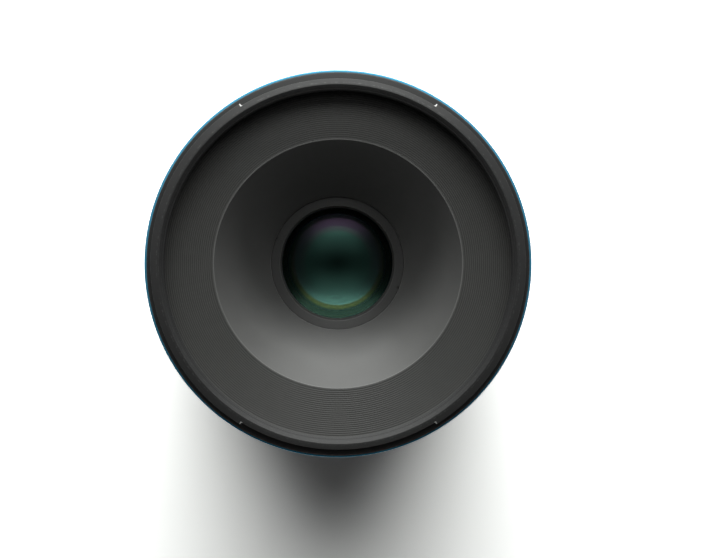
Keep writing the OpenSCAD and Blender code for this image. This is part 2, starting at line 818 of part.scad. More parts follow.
module front_ring() {
    skirt_r = accent_r - accent_wall;
    color([0.13, 0.13, 0.13]) {
        union() {
            lathe([
                [fixed_in_r, accent_bottom_z],
                [skirt_r, accent_bottom_z],
                [skirt_r, shoulder_bottom_z],
                [shoulder_r, shoulder_bottom_z],
                [shoulder_r, shoulder_z - edge_bevel],
                [shoulder_r - edge_bevel, shoulder_z],
                [hood_seat_r, shoulder_z],
                [hood_seat_r, rim_z - (hood_seat_r - rim_flat_r)],
                [rim_flat_r, rim_z],
                [rim_in_r, rim_z],
                [(rim_in_r + thread_r) / 2, rim_z - mouth_d / 2],
                [thread_r, rim_z - mouth_d],
                [thread_r, plate_z + face_gap],
                [fixed_in_r, plate_z + face_gap]
            ]);
            around(2, cutout_angle / 2 - 90)
                rotate_extrude(angle = 180 - cutout_angle)
                    polygon([
                        [rim_flat_r, rim_z - tab_t],
                        [tab_r, rim_z - tab_t],
                        [tab_r, rim_z - (tab_r - rim_flat_r)],
                        [rim_flat_r, rim_z]
                    ]);
        }
    }
}

module accent_ring() {
    r_in = accent_r - accent_wall + fit_gap;
    z0 = accent_bottom_z;
    z1 = shoulder_bottom_z - fit_gap;
    color([0.2, 0.5, 0.68])
        lathe([
            [r_in, z0],
            [accent_r - edge_bevel, z0],
            [accent_r, z0 + edge_bevel],
            [accent_r, z1 - edge_bevel],
            [accent_r - edge_bevel, z1],
            [r_in, z1]
        ]);
}

// Plain disc on the front barrel, held down by the lower edge of the filter thread
module trim_plate() {
    r_in = cone_mouth_r + cone_lip + fit_gap;
    r_out = fixed_in_r - run_gap;
    first = r_in + groove_pitch;
    count = floor((r_out - first - groove_pitch) / groove_pitch);
    grooves = [
        for (i = [0 : count - 1])
            for (s = [0, 1, 2])
                [first + (i + s * 0.3) * groove_pitch, plate_z - (s == 1 ? groove_d : 0)]
    ];
    color([0.2, 0.2, 0.2])
        lathe(concat(
            [[r_out, plate_z], [r_out, plate_seat_z], [r_in, plate_seat_z], [r_in, plate_z]],
            grooves
        ));
}

module light_cone() {
    throat_z = ring_top_z + mouth_d / 2;
    top_r = cone_mouth_r + cone_lip;
    slope = (cone_mouth_r - cone_end_r) / (plate_z - throat_z);
    under_r = cone_mouth_r + cone_wall - slope * (plate_z - cone_seat_z) - cone_lip;
    color([0.1, 0.1, 0.1])
        lathe([
            [cone_end_r, cone_foot_z],
            [cone_end_r + cone_wall, cone_foot_z],
            [cone_end_r + cone_wall, throat_z],
            [under_r, cone_seat_z],
            [cone_flange_r, cone_seat_z],
            [cone_flange_r, plate_seat_z],
            [top_r, plate_seat_z],
            [top_r, plate_z],
            [cone_mouth_r, plate_z],
            [cone_end_r, throat_z]
        ]);
}

module front_retaining_ring() {
    bevel_w = front_lock_bevel;
    glass_top = front_element_top + sag(front_element_curve_r, front_land_r);
    seat_r = front_land_r + fit_gap;
    glass_air = front_air / 2;
    bevel_z = ring_top_z - 2 * bevel_w;
    color([0.2, 0.2, 0.2])
        difference() {
            lathe([
                [lock_r, front_element_top],
                [lock_r, ring_top_z],
                [front_lock_in_r + bevel_w, ring_top_z],
                [front_lock_in_r, bevel_z],
                [front_lock_in_r, glass_top - sag(front_element_curve_r, front_lock_in_r) + glass_air],
                [seat_r, front_element_top + glass_air],
                [seat_r, front_element_top]
            ]);
            around(2, notch_angle)
                translate([lock_r - bevel_w, -bevel_w / 2, ring_top_z - bevel_w])
                    cube([bevel_w + overrun, bevel_w, bevel_w + overrun]);
        }
}

// Front group

module front_cell() {
    color([0.15, 0.15, 0.15])
        difference() {
            lathe([
                [cell_bore_r, cell_bottom_z],
                [cell_tube_r, cell_bottom_z],
                [cell_tube_r, cell_flange_z],
                [cell_flange_r, cell_flange_z],
                [cell_flange_r, cell_flange_z + cell_flange_t],
                [cell_tube_r - cell_wall, cell_flange_z + cell_flange_t],
                [cell_tube_r - cell_wall, cell_bottom_z + cell_wall],
                [cell_hub_r, cell_bottom_z + cell_wall],
                [cell_hub_r, cell_top_z],
                [lock_r + fit_gap, cell_top_z],
                [lock_r + fit_gap, front_element_top],
                [front_element_r + fit_gap, front_element_top],
                [front_element_r + fit_gap, front_element_z],
                [inner_land_r + fit_gap, front_element_z],
                [inner_land_r + fit_gap, second_z + second_edge],
                [cell_bore_r, second_z + second_edge]
            ]);
            around(3, 90)
                translate([cell_screw_circle_r, 0, 0])
                    rod(small_screw_r + pin_gap, cell_flange_z - overrun, cone_seat_z);
        }
}

module front_cell_screws() {
    color("dimgray")
        around(3, 90)
            translate([cell_screw_circle_r, 0, cell_flange_z + cell_flange_t])
                cross_screw(small_screw_head_r, small_screw_head_h, small_screw_r,
                    cell_flange_t + ledge_t * 0.9);
}

module front_element() {
    color([0.35, 0.5, 0.45, 0.6])
        element(front_element_r, front_element_edge, front_element_z, front_element_curve_r,
            -front_element_back_curve_r);
}

module second_element() {
    color([0.5, 0.6, 0.6, 0.6])
        element(inner_front_r, second_edge, second_z, second_curve_r, cement_curve_r);
}

module third_element() {
    color([0.5, 0.55, 0.65, 0.6])
        element(inner_front_r, third_edge, third_z, -cement_curve_r, -third_curve_r);
}

module fourth_element() {
    color([0.5, 0.6, 0.6, 0.6])
        element(inner_front_r, fourth_edge, fourth_z, fourth_curve_r, -fourth_back_curve_r);
}

module front_spacer() {
    color([0.15, 0.15, 0.15])
        tube(inner_land_r, inner_front_r, fourth_z + fourth_edge, third_z);
}

module front_lock_ring() {
    color([0.15, 0.15, 0.15])
        lock_ring(inner_land_r, inner_front_r, cell_bottom_z, front_lock_ring_t);
}

// Iris

function turned(p, a) = [p[0] * cos(a) - p[1] * sin(a), p[0] * sin(a) + p[1] * cos(a)];
pivot = [pivot_circle_r, 0];
drive_pin = turned([drive_pin_circle_r, 0], drive_pin_angle);
blade_ratio = blade_turn / aperture_turn;

// Middle line of a cam slot, in the drive ring, when that ring has turned by a
function drive_line(a) = turned(pivot + turned(drive_pin - pivot, a * blade_ratio), -a);
function across(a) = let (d = drive_line(a + 1) - drive_line(a - 1)) [-d[1], d[0]] / norm(d);
slot_over = (blade_pin_r + 2 * pin_gap) / drive_pin_circle_r * radian;
slot_steps = 14;
function slot_angle(i) = -slot_over + i * (aperture_turn + 2 * slot_over) / slot_steps;
function slot_side(side) = [
    for (i = [0 : slot_steps])
        let (a = slot_angle(side > 0 ? i : slot_steps - i))
            drive_line(a) + side * (blade_pin_r + pin_gap) * across(a)
];

module iris_base() {
    window = link_angle + aperture_turn + 2 * radian * link_t / iris_rim_r;
    pin_depth = iris_plate_t * 0.65;
    color([0.2, 0.2, 0.2])
        difference() {
            lathe([
                [iris_open_r + blade_t, iris_plate_z],
                [barrel_in_r - fit_gap, iris_plate_z],
                [barrel_in_r - fit_gap, iris_floor_z],
                [iris_rim_r + iris_rim_wall, iris_floor_z],
                [iris_rim_r + iris_rim_wall, iris_rim_top],
                [iris_rim_r, iris_rim_top],
                [iris_rim_r, clip_z + clip_t + fit_gap],
                [iris_rim_r + clip_groove_d, clip_z + clip_t + fit_gap],
                [iris_rim_r + clip_groove_d, clip_z],
                [iris_rim_r, clip_z],
                [iris_rim_r, iris_floor_z],
                [iris_open_r + blade_t, iris_floor_z]
            ]);
            around(blade_count)
                translate([pivot_circle_r, 0, 0])
                    rod(blade_pin_r + pin_gap, iris_floor_z - pin_depth, iris_floor_z + overrun);
            around(3, screw_angle)
                radial_rod(small_screw_r + fit_gap, barrel_in_r - iris_plate_t, barrel_in_r + overrun,
                    iris_screw_z);
            sector(iris_rim_r - overrun, iris_rim_r + iris_rim_wall + overrun, drive_z - face_gap,
                iris_rim_top + overrun, aperture_key_angle - (window - aperture_turn) / 2, window);
        }
}

module iris_base_screws() {
    color("dimgray")
        around(3, screw_angle)
            translate([barrel_in_r - iris_plate_t + fit_gap, 0, iris_screw_z])
                rotate([0, 90, 0])
                    grub_screw(small_screw_r, iris_plate_t + barrel_wall - 2 * run_gap);
}

module iris_clip_ring() {
    color("gray")
        sector(iris_rim_r - 2 * iris_rim_wall, iris_rim_r + clip_groove_d - fit_gap, clip_z, clip_z + clip_t,
            0, 345);
}

module iris_drive_ring() {
    arm_r = link_out_r;
    half = link_angle / 2;
    color("goldenrod")
        difference() {
            union() {
                tube(drive_in_r, drive_r, drive_z, drive_z + drive_t);
                sector(drive_r - overrun, arm_r, drive_z, drive_z + drive_t, aperture_key_angle - half,
                    link_angle);
            }
            around(blade_count)
                translate([0, 0, drive_z - overrun])
                    linear_extrude(drive_t + 2 * overrun)
                        polygon(concat(slot_side(1), slot_side(-1)));
        }
}

// One blade: an arc-shaped leaf with a pivot pin below and a drive pin above
module iris_blade(i) {
    leaf_out_r = iris_open_r + blade_w;
    pivot_pad_r = 2.4 * blade_pin_r;
    drive_pad_r = 1.9 * blade_pin_r;
    z = iris_floor_z + blade_lift + i * blade_pitch;
    pin_depth = iris_plate_t * 0.6;
    color([0.25, 0.25, 0.27])
        rotate([0, 0, i * 360 / blade_count]) {
            sector(iris_open_r, leaf_out_r, z, z + blade_t, blade_start, blade_span);
            translate([0, 0, z])
                linear_extrude(blade_t) {
                    translate([leaf_out_r - blade_w / 4, -pivot_pad_r])
                        square([pivot_circle_r - leaf_out_r + blade_w / 4, 2 * pivot_pad_r]);
                    translate(pivot)
                        circle(r = pivot_pad_r);
                    rotate(drive_pin_angle) {
                        translate([leaf_out_r - blade_w / 4, -drive_pad_r])
                            square([drive_pin_circle_r - leaf_out_r + blade_w / 4, 2 * drive_pad_r]);
                        translate([drive_pin_circle_r, 0])
                            circle(r = drive_pad_r);
                    }
                }
            translate(pivot)
                rod(blade_pin_r, iris_floor_z - pin_depth, z + blade_t);
            translate(drive_pin)
                rod(blade_pin_r, z, drive_z + drive_t);
        }
}

// Aperture ring

module aperture_ring() {
    rib_z0 = aperture_bottom_z + aperture_band_h;
    rib_z1 = aperture_top_z - edge_bevel * 2;
    color([0.12, 0.12, 0.12])
        difference() {
            union() {
                lathe([
                    [ring_in_r, aperture_bottom_z],
                    [band_r - edge_bevel, aperture_bottom_z],
                    [band_r, aperture_bottom_z + edge_bevel],
                    [band_r, aperture_top_z - edge_bevel],
                    [band_r - edge_bevel, aperture_top_z],
                    [ring_in_r, aperture_top_z]
                ]);
                ribbed_band(aperture_ribs, (ring_in_r + band_r) / 2, band_r - edge_bevel, rib_r,
                    rib_z0, rib_z1);
            }
            for (i = [0 : aperture_stops - 1])
                scale_mark(band_r, index_angle - i * aperture_turn / (aperture_stops - 1),
                    aperture_bottom_z + 2 * edge_bevel, aperture_band_h * 0.25);
            rotate([0, 0, aperture_key_angle]) {
                radial_rod(small_screw_r + pin_gap, ring_in_r - overrun, rib_r + overrun, aperture_key_z);
                radial_rod(small_screw_head_r + pin_gap, band_r - small_screw_head_h, rib_r + overrun,
                    aperture_key_z);
            }
        }
}

module aperture_key_screw() {
    head_r0 = band_r - small_screw_head_h;
    color("dimgray")
        rotate([0, 0, aperture_key_angle])
            translate([head_r0, 0, aperture_key_z])
                rotate([0, 90, 0])
                    cross_screw(small_screw_head_r, small_screw_head_h, small_screw_r,
                        head_r0 - link_in_r - face_gap);
}

module aperture_link() {
    half = link_angle / 2;
    color("goldenrod")
        difference() {
            sector(link_in_r, link_out_r, drive_z + drive_t, ledge_z - face_gap * 3,
                aperture_key_angle - half, link_angle);
            rotate([0, 0, aperture_key_angle])
                radial_rod(small_screw_r + fit_gap, link_in_r - overrun, link_out_r + overrun,
                    aperture_key_z);
        }
}

// Focus ring and cam sleeve

module focus_ring() {
    distance_z = focus_top_z - 2 * edge_bevel - focus_band_h * 0.16;
    color([0.1, 0.1, 0.1])
        difference() {
            lathe([
                [ring_in_r, focus_bottom_z],
                [band_r - edge_bevel, focus_bottom_z],
                [band_r, focus_bottom_z + edge_bevel],
                [band_r, grip_z0],
                [grip_seat_r, grip_z0],
                [grip_seat_r, grip_z1],
                [band_r, grip_z1],
                [band_r, focus_top_z - edge_bevel],
                [band_r - edge_bevel, focus_top_z],
                [ring_in_r, focus_top_z]
            ]);
            for (s = focus_mark_shares)
                scale_mark(band_r, index_angle - s * focus_turn, distance_z, focus_band_h * 0.16);
            rotate([0, 0, focus_key_angle]) {
                radial_rod(key_r + fit_gap, ring_in_r - overrun, grip_seat_r + overrun, focus_key_z);
                radial_rod(key_r + key_r / 2 + fit_gap, grip_seat_r - focus_wall / 2,
                    grip_seat_r + overrun, focus_key_z);
            }
        }
}

module focus_grip() {
    color([0.07, 0.07, 0.07])
        ribbed_band(focus_ribs, grip_seat_r + fit_gap, band_r - edge_bevel, rib_r, grip_z0 + fit_gap,
            grip_z1 - fit_gap);
}

module focus_key_screw() {
    head_h = focus_wall / 2 - fit_gap;
    head_r0 = grip_seat_r - focus_wall / 2;
    color("goldenrod")
        rotate([0, 0, focus_key_angle])
            translate([head_r0, 0, focus_key_z])
                rotate([0, 90, 0])
                    cross_screw(key_r + key_r / 2, head_h, key_r, head_r0 - sleeve_in_r - run_gap);
}

// Cutter for one helical cam slot, from short straight lengths. The slot falls back as it climbs,
// because the sleeve turns past rollers that only rise.
module cam_slot(z, travel) {
    mid_r = (sleeve_in_r + sleeve_r) / 2;
    climb = atan(travel / (focus_turn / radian * mid_r));
    over = slot_end * cos(climb) / mid_r * radian;
    step = (focus_turn + 2 * over) / cam_steps;
    half = (roller_r + roller_gap) / cos(climb);
    run = mid_r * tan(step / 2) * cam_overlap;
    rise = travel / focus_turn * step / 2 * cam_overlap;
    for (k = [0 : cam_steps - 1])
        let (t = -over + (k + 0.5) * step)
            rotate([0, 0, -t])
                translate([sleeve_in_r - overrun, 0, z + t / focus_turn * travel])
                    rotate([90, 0, 90])
                        linear_extrude(sleeve_wall + 2 * overrun)
                            polygon([[-run, rise - half], [run, -rise - half],
                                [run, half - rise], [-run, half + rise]]);
}

module cam_sleeve() {
    color("darkgoldenrod")
        difference() {
            tube(sleeve_in_r, sleeve_r, sleeve_bottom_z, sleeve_top_z);
            around(roller_count, middle_roller_angle)
                cam_slot(middle_roller_z, middle_travel);
            around(roller_count, inner_roller_angle)
                cam_slot(inner_roller_z, inner_travel);
            rotate([0, 0, focus_key_angle])
                radial_rod(key_r + fit_gap, sleeve_in_r - overrun, sleeve_r + overrun, focus_key_z);
        }
}

// Moving groups

// Ring that carries glass in its hub and is guided by its skirt and three rollers
module carrier(z0, len, glass_r, hub_top, roller_z, start) {
    color([0.2, 0.2, 0.2])
        difference() {
            lathe([
                [glass_r - edge_land, z0],
                [glass_r + skirt_wall, z0],
                [glass_r + skirt_wall, roller_z - web_t / 2],
                [carrier_r - skirt_wall, roller_z - web_t / 2],
                [carrier_r - skirt_wall, z0],
                [carrier_r, z0],
                [carrier_r, z0 + len],
                [carrier_r - skirt_wall, z0 + len],
                [carrier_r - skirt_wall, roller_z + web_t / 2],
                [glass_r + skirt_wall, roller_z + web_t / 2],
                [glass_r + skirt_wall, hub_top],
                [glass_r + fit_gap, hub_top],
                [glass_r + fit_gap, z0 + seat_t],
                [glass_r - edge_land, z0 + seat_t]
            ]);
            around(roller_count, start)
                radial_rod(small_screw_r + fit_gap, carrier_r - 2 * web_t, carrier_r + overrun, roller_z);
        }
}

module rollers(z, start) {
    color("goldenrod")
        around(roller_count, start)
            difference() {
                radial_rod(roller_r, carrier_r + fit_gap, barrel_r - small_screw_head_h - run_gap, z);
                radial_rod(small_screw_r + fit_gap, carrier_r - overrun, barrel_r, z);
            }
}

module roller_screws(z, start) {
    head_r0 = barrel_r - small_screw_head_h - run_gap;
    color("dimgray")
        around(roller_count, start)
            translate([head_r0, 0, z])
                rotate([0, 90, 0])
                    cross_screw(roller_r * 0.9, small_screw_head_h, small_screw_r,
                        head_r0 - carrier_r + 1.8 * web_t);
}

module middle_carrier() {
    carrier(middle_z, middle_len, middle_r, middle_lock_z + focus_lock_t, middle_roller_z,
        middle_roller_angle);
}

module middle_rear_element() {
    color([0.5, 0.6, 0.6, 0.6])
        element(middle_r, middle_rear_edge, middle_rear_z, middle_rear_curve_r, -middle_rear_curve_r);
}

module middle_centre_element() {
    color([0.5, 0.55, 0.65, 0.6])
        element(middle_r, middle_centre_edge, middle_centre_z, -middle_cement_curve_r,
            -middle_centre_curve_r);
}

module middle_front_element() {
    color([0.5, 0.6, 0.6, 0.6])
        element(middle_r, middle_front_edge, middle_front_z, middle_front_curve_r, middle_cement_curve_r);
}

module middle_retaining_ring() {
    color([0.15, 0.15, 0.15])
        lock_ring(middle_r - edge_land + fit_gap, middle_r, middle_lock_z, focus_lock_t);
}

module middle_rollers() {
    rollers(middle_roller_z, middle_roller_angle);
}

module middle_roller_screws() {
    roller_screws(middle_roller_z, middle_roller_angle);
}

module inner_carrier() {
    carrier(inner_z, inner_len, inner_r, inner_lock_z + focus_lock_t, inner_roller_z, inner_roller_angle);
}

module inner_rear_element() {
    color([0.5, 0.6, 0.6, 0.6])
        element(inner_r, inner_rear_edge, inner_rear_z, inner_rear_front_curve_r, -inner_rear_curve_r);
}

module inner_front_element() {
    color([0.5, 0.6, 0.6, 0.6])
        element(inner_r, inner_front_edge, inner_front_z, inner_front_curve_r, -inner_front_curve_r);
}

module inner_retaining_ring() {
    color([0.15, 0.15, 0.15])
        lock_ring(inner_r - edge_land + fit_gap, inner_r, inner_lock_z, focus_lock_t);
}

module inner_rollers() {
    rollers(inner_roller_z, inner_roller_angle);
}

module inner_roller_screws() {
    roller_screws(inner_roller_z, inner_roller_angle);
}

// Rear group

module rear_cell() {
    color([0.15, 0.15, 0.15])
        difference() {
            lathe([
                [rear_r - edge_land, -rear_cell_d],
                [rear_cell_r, -rear_cell_d],
                [rear_cell_r, rear_flange_z],
                [rear_screw_circle_r + small_screw_head_r, rear_flange_z],
                [rear_screw_circle_r + small_screw_head_r, rear_flange_z + rear_flange_t],
                [rear_cell_r, rear_flange_z + rear_flange_t],
                [rear_cell_r, rear_lock_z + rear_lock_t],
                [rear_r + fit_gap, rear_lock_z + rear_lock_t],
                [rear_r + fit_gap, rear_element_z],
                [rear_r - edge_land, rear_element_z]
            ]);
            around(3, 90)
                translate([rear_screw_circle_r, 0, 0])
                    rod(small_screw_r + pin_gap, rear_flange_z - overrun, rear_flange_z + rear_flange_t
                        + overrun);
        }
}

module rear_cell_screws() {
    color("dimgray")
        around(3, 90)
            translate([rear_screw_circle_r, 0, rear_flange_z + rear_flange_t])
                cross_screw(small_screw_head_r, small_screw_head_h, small_screw_r,
                    rear_flange_t + rear_plate_t * 0.8);
}

module rear_inner_element() {
    color([0.5, 0.6, 0.6, 0.6])
        element(rear_r, rear_inner_edge, rear_inner_z, rear_inner_front_curve_r, -rear_inner_curve_r);
}

module rear_element() {
    color([0.4, 0.5, 0.55, 0.6])
        element(rear_r, rear_edge, rear_element_z, rear_curve_r, -rear_curve_r);
}

module rear_retaining_ring() {
    color([0.15, 0.15, 0.15])
        lock_ring(rear_r - edge_land + fit_gap, rear_r, rear_lock_z, rear_lock_t);
}

bayonet_mount();
mount_screws();
mount_index_dot();
rear_light_baffle();
rear_barrel();
main_barrel();
index_ring();
index_ring_screws();
front_barrel();
front_ring();
accent_ring();
trim_plate();
light_cone();
front_retaining_ring();
front_cell();
front_cell_screws();
front_element();
second_element();
third_element();
fourth_element();
front_spacer();
front_lock_ring();
iris_base();
iris_base_screws();
iris_clip_ring();
rear_cell();
rear_cell_screws();
rear_inner_element();
rear_element();
rear_retaining_ring();
focus_ring();
focus_grip();
focus_key_screw();
cam_sleeve();
middle_carrier();
middle_rear_element();
middle_centre_element();
middle_front_element();
middle_retaining_ring();
middle_rollers();
middle_roller_screws();
inner_carrier();
inner_rear_element();
inner_front_element();
inner_retaining_ring();
inner_rollers();
inner_roller_screws();
aperture_ring();
aperture_key_screw();
aperture_link();
iris_drive_ring();
iris_blade(0);  // iris_blade_1
iris_blade(1);  // iris_blade_2
iris_blade(2);  // iris_blade_3
iris_blade(3);  // iris_blade_4
iris_blade(4);  // iris_blade_5
iris_blade(5);  // iris_blade_6
iris_blade(6);  // iris_blade_7
iris_blade(7);  // iris_blade_8
iris_blade(8);  // iris_blade_9
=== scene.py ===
import math

import bmesh
import bpy
from mathutils import Matrix, Vector


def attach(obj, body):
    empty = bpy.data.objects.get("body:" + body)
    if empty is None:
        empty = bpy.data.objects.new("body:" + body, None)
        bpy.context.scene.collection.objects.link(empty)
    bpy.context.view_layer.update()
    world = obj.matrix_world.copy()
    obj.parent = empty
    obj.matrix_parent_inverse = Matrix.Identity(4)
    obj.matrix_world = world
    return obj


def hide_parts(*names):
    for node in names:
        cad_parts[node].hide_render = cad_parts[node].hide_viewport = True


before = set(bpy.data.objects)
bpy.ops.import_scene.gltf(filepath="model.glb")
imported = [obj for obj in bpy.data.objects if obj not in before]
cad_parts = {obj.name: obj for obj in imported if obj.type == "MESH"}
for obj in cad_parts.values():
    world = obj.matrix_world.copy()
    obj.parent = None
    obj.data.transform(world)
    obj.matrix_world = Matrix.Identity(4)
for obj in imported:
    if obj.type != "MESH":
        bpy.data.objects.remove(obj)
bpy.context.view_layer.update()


# Bayonet mount: one turned ring of chromed brass with its spigot and three lugs, bright where it
# bears on a camera. Four steel screws, sunk into its face, hold it to the main barrel.

MM_PER_M = 1000


class Wire:
    """A value in a finish. Arithmetic on it adds Math nodes."""

    def __init__(self, finish, socket):
        self.finish, self.socket = finish, socket

    def maths(self, operation, *values, **settings):
        sockets = dict(enumerate((self, *values)))
        return self.finish.node("Math", dict(operation=operation, **settings), sockets)

    def __add__(self, other):
        return self.maths("ADD", other)

    def __sub__(self, other):
        return self.maths("SUBTRACT", other)

    def __rsub__(self, other):
        return self * -1 + other

    def __mul__(self, other):
        return self.maths("MULTIPLY", other)

    def __truediv__(self, other):
        return self.maths("DIVIDE", other)

    def __pow__(self, other):
        return self.maths("POWER", other)

    __radd__ = __add__
    __rmul__ = __mul__

    def over(self, edge, blur):
        """0 below the edge and 1 above it, with a soft step blur wide."""
        return self.maths("MULTIPLY_ADD", 1 / blur, 0.5 - edge / blur, use_clamp=True)


class Finish:
    """A procedural finish. Lengths in it are millimetres on the object at rest."""

    def __init__(self, name, owner=None, output="OutputMaterial"):
        self.owner = owner or bpy.data.materials.new(name)
        self.owner.use_nodes = True
        self.tree = self.owner.node_tree
        self.tree.nodes.clear()
        self.output = self.tree.nodes.new("ShaderNode" + output)

    def node(self, kind, settings=None, sockets=None, out=0):
        """Adds a node: its settings first, then the values or links of its sockets."""
        made = self.tree.nodes.new("ShaderNode" + kind)
        for key, value in (settings or {}).items():
            setattr(made, key, value)
        for key, value in (sockets or {}).items():
            if isinstance(value, Wire):
                self.tree.links.new(value.socket, made.inputs[key])
            else:
                made.inputs[key].default_value = value
        return Wire(self, made.outputs[out])

    def place(self):
        """Where a point is on the object."""
        return self.node("VectorMath", {"operation": "SCALE"},
                         {0: self.node("TexCoord", out="Object"), "Scale": MM_PER_M})

    def part(self, vector, axis):
        """One component of a vector."""
        return self.node("SeparateXYZ", {}, {0: vector}, axis)

    def from_axis(self, at):
        """How far a place is from the axis of the lens."""
        x, y = self.part(at, "X"), self.part(at, "Y")
        return (x * x + y * y) ** 0.5

    def noise(self, at, size, detail=2.0, roughness=0.5):
        return self.node("TexNoise", {}, {"Vector": at, "Scale": 1 / size, "Detail": detail,
                                          "Roughness": roughness}, "Fac")

    def lines(self, at, pitch):
        """Uneven tool lines round the axis, on faces and on walls."""
        track = (self.from_axis(at) + self.part(at, "Z")) / pitch
        return self.node("TexNoise", {"noise_dimensions": "1D"},
                         {"W": track, "Scale": 1.0, "Detail": 3.0}, "Fac")

    def mix(self, share, first, second):
        tones = [tone if isinstance(tone, Wire) else (*tone, 1) for tone in (first, second)]
        return self.node("Mix", {"data_type": "RGBA"}, {0: share, 6: tones[0], 7: tones[1]}, 2)

    def bump(self, height, depth):
        return self.node("Bump", {}, {"Height": height, "Distance": depth / MM_PER_M})

    def edge_wear_and_highlight(self):
        """1 on the rounded edges, where hands and tools wear them and satin finishes paint a
        highlight.
        """
        return self.node("Attribute", {"attribute_name": "edge_wear_and_highlight"}, out="Fac")

    def surface(self, **sockets):
        """Ends the finish in a Principled shader, with its sockets' names in small letters."""
        named = {key.replace("_", " ").title().replace("Ior", "IOR"): value
                 for key, value in sockets.items()}
        return self.end(self.node("BsdfPrincipled", {}, named))

    def end(self, shader):
        self.tree.links.new(shader.socket, self.output.inputs["Surface"])
        return self.owner


def turned_metal(name, bright, dull, roughness, pitch, bite):
    """Bare metal off the lathe: fine tool lines round the axis and a slow drift of tone."""
    f = Finish(name)
    at = f.place()
    lines = f.lines(at, pitch)
    stain = f.noise(at, 4.0, detail=4.0)
    return f.surface(base_color=f.mix(stain.over(0.55, blur=0.35) * 0.7, bright, dull),
                     metallic=1.0, roughness=roughness + stain * 0.12 + lines * 0.1,
                     normal=f.bump(lines, bite))


def dress(finish, *nodes):
    """Gives CAD pieces their finish."""
    for node in nodes:
        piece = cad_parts[node]
        piece.data.materials.clear()
        piece.data.materials.append(finish)


dress(turned_metal("chromed_mount", bright=(0.66, 0.65, 0.62), dull=(0.44, 0.43, 0.41),
                   roughness=0.16, pitch=0.12, bite=0.004), "bayonet_mount")
dress(turned_metal("screw_steel", bright=(0.56, 0.55, 0.53), dull=(0.34, 0.33, 0.32),
                   roughness=0.24, pitch=0.05, bite=0.004), "mount_screws")


# Mount index dot: a bead of white enamel set in the side of the rear barrel. The photographer lines
# it up with the dot on the camera.

ENAMEL, GRIME = (0.78, 0.77, 0.73), (0.42, 0.40, 0.36)


def enamel():
    """White paint with a faint orange peel and a little dirt."""
    f = Finish("white_enamel")
    at = f.place()
    dirt = f.noise(at, 0.9, detail=4.0)
    peel = f.noise(at, 0.12)
    return f.surface(base_color=f.mix(dirt.over(0.62, blur=0.2) * 0.45, ENAMEL, GRIME),
                     roughness=0.34 + dirt * 0.18, normal=f.bump(peel, 0.004))


white = enamel()
dress(white, "mount_index_dot")


# Rear light baffle and rear cell: blackened aluminium behind the last glass. The baffle's window
# has the shape of the picture, to keep stray light off the sensor. Small dark screws hold them.


def blackened(name, tone, roughness, grain):
    """Dull black on metal, with a fine blasted grain and rubbed patches."""
    f = Finish(name)
    at = f.place()
    pits = f.noise(at, grain, detail=3.0)
    rubbed = f.noise(at, 6.0, detail=5.0, roughness=0.6)
    pale = tuple(value * 2.1 + 0.006 for value in tone)
    return f.surface(base_color=f.mix(rubbed.over(0.62, blur=0.3) * 0.5, tone, pale),
                     roughness=roughness + pits * 0.16 - rubbed * 0.06,
                     normal=f.bump(pits, grain * 0.25))


dress(blackened("baffle_black", (0.008, 0.008, 0.008), roughness=0.78, grain=0.1),
      "rear_light_baffle")
cell_black = blackened("cell_black", (0.011, 0.011, 0.011), roughness=0.52, grain=0.14)
dress(cell_black, "rear_cell", "rear_retaining_ring")
dress(blackened("dark_screws", (0.03, 0.03, 0.032), roughness=0.36, grain=0.08),
      "rear_cell_screws", "front_cell_screws", "iris_base_screws", "index_ring_screws",
      "aperture_key_screw", "middle_roller_screws", "inner_roller_screws")


# Optical elements: ground glass with a coating on each face. A coating lets nearly all the light
# through and gives back a weak colour of its own, stronger on a slanting look.

TEAL, GREEN, VIOLET = (0.36, 0.92, 0.76), (0.36, 0.95, 0.66), (0.85, 0.48, 0.98)


def coated_glass(name, front, back):
    """Almost clear, with a weak coloured mirror on each face that fades towards the axis. A face
    is given from the axis outward, as zones of (colour, share of the light, outer radius)."""
    f = Finish(name)
    at = f.place()
    radius = f.from_axis(at)
    haze = f.noise(at, 2.5, detail=4.0, roughness=0.6)
    specks = f.noise(at, 0.16).over(0.74, blur=0.03)
    # This normal always turns towards the eye. Backfacing tells which way the face itself looks.
    towards_eye = f.part(f.node("NewGeometry", out="Normal"), "Z")
    outward = 1 - f.node("NewGeometry", out="Backfacing") * 2
    upward = (towards_eye * outward).over(0, blur=0.01)
    slant = f.node("LayerWeight", {}, {"Blend": 0.35}, "Facing")
    tones, shares = [], []
    for (tone, share, edge), *outer in (back, front):
        for next_tone, next_share, next_edge in outer:
            beyond = radius.over(edge, blur=0.12)
            tone = f.mix(beyond, tone, next_tone)
            share = share * (1 - beyond) + beyond * next_share
            edge = next_edge
        tones.append(tone)
        shares.append((1 - radius.over(edge, blur=0.1)) * share * (radius / edge) ** 1.2)
    mirror = (shares[0] * (1 - upward) + shares[1] * upward) * (slant + 1) * (haze * 0.3 + 0.85)
    return f.surface(base_color=f.mix(upward, *tones), metallic=0.85, roughness=0.24 + haze * 0.04,
                     alpha=mirror + specks * 0.006 + 0.004)


dress(coated_glass("rear_coating", [(GREEN, 0.04, 15.7)], [(TEAL, 0.04, 15.7)]),
      "rear_element", "rear_inner_element")
dress(coated_glass("inner_coating", [(VIOLET, 0.004, 13.7)], [(TEAL, 0.004, 13.7)]),
      "inner_rear_element", "inner_front_element", "middle_rear_element", "middle_centre_element",
      "middle_front_element")


# Rear barrel: the fixed black tail of the lens. It is turned from aluminium, bead-blasted and black
# anodised, and tapers from the control rings to the mount.

BAND_R, BORE_R, BEVEL = 36.2, 33.52, 0.3
TAIL_R, NECK_R, TAIL_Z0, TAPER_Z0, TAPER_Z1, TAIL_Z1 = 31.5, 29.52, 2.02, 5.0, 13.0, 23.6
# Bright bare metal, painted on the worn tab ends, where it also stands for a glint.
BARE_METAL_GLINT = (0.8, 0.8, 0.79)


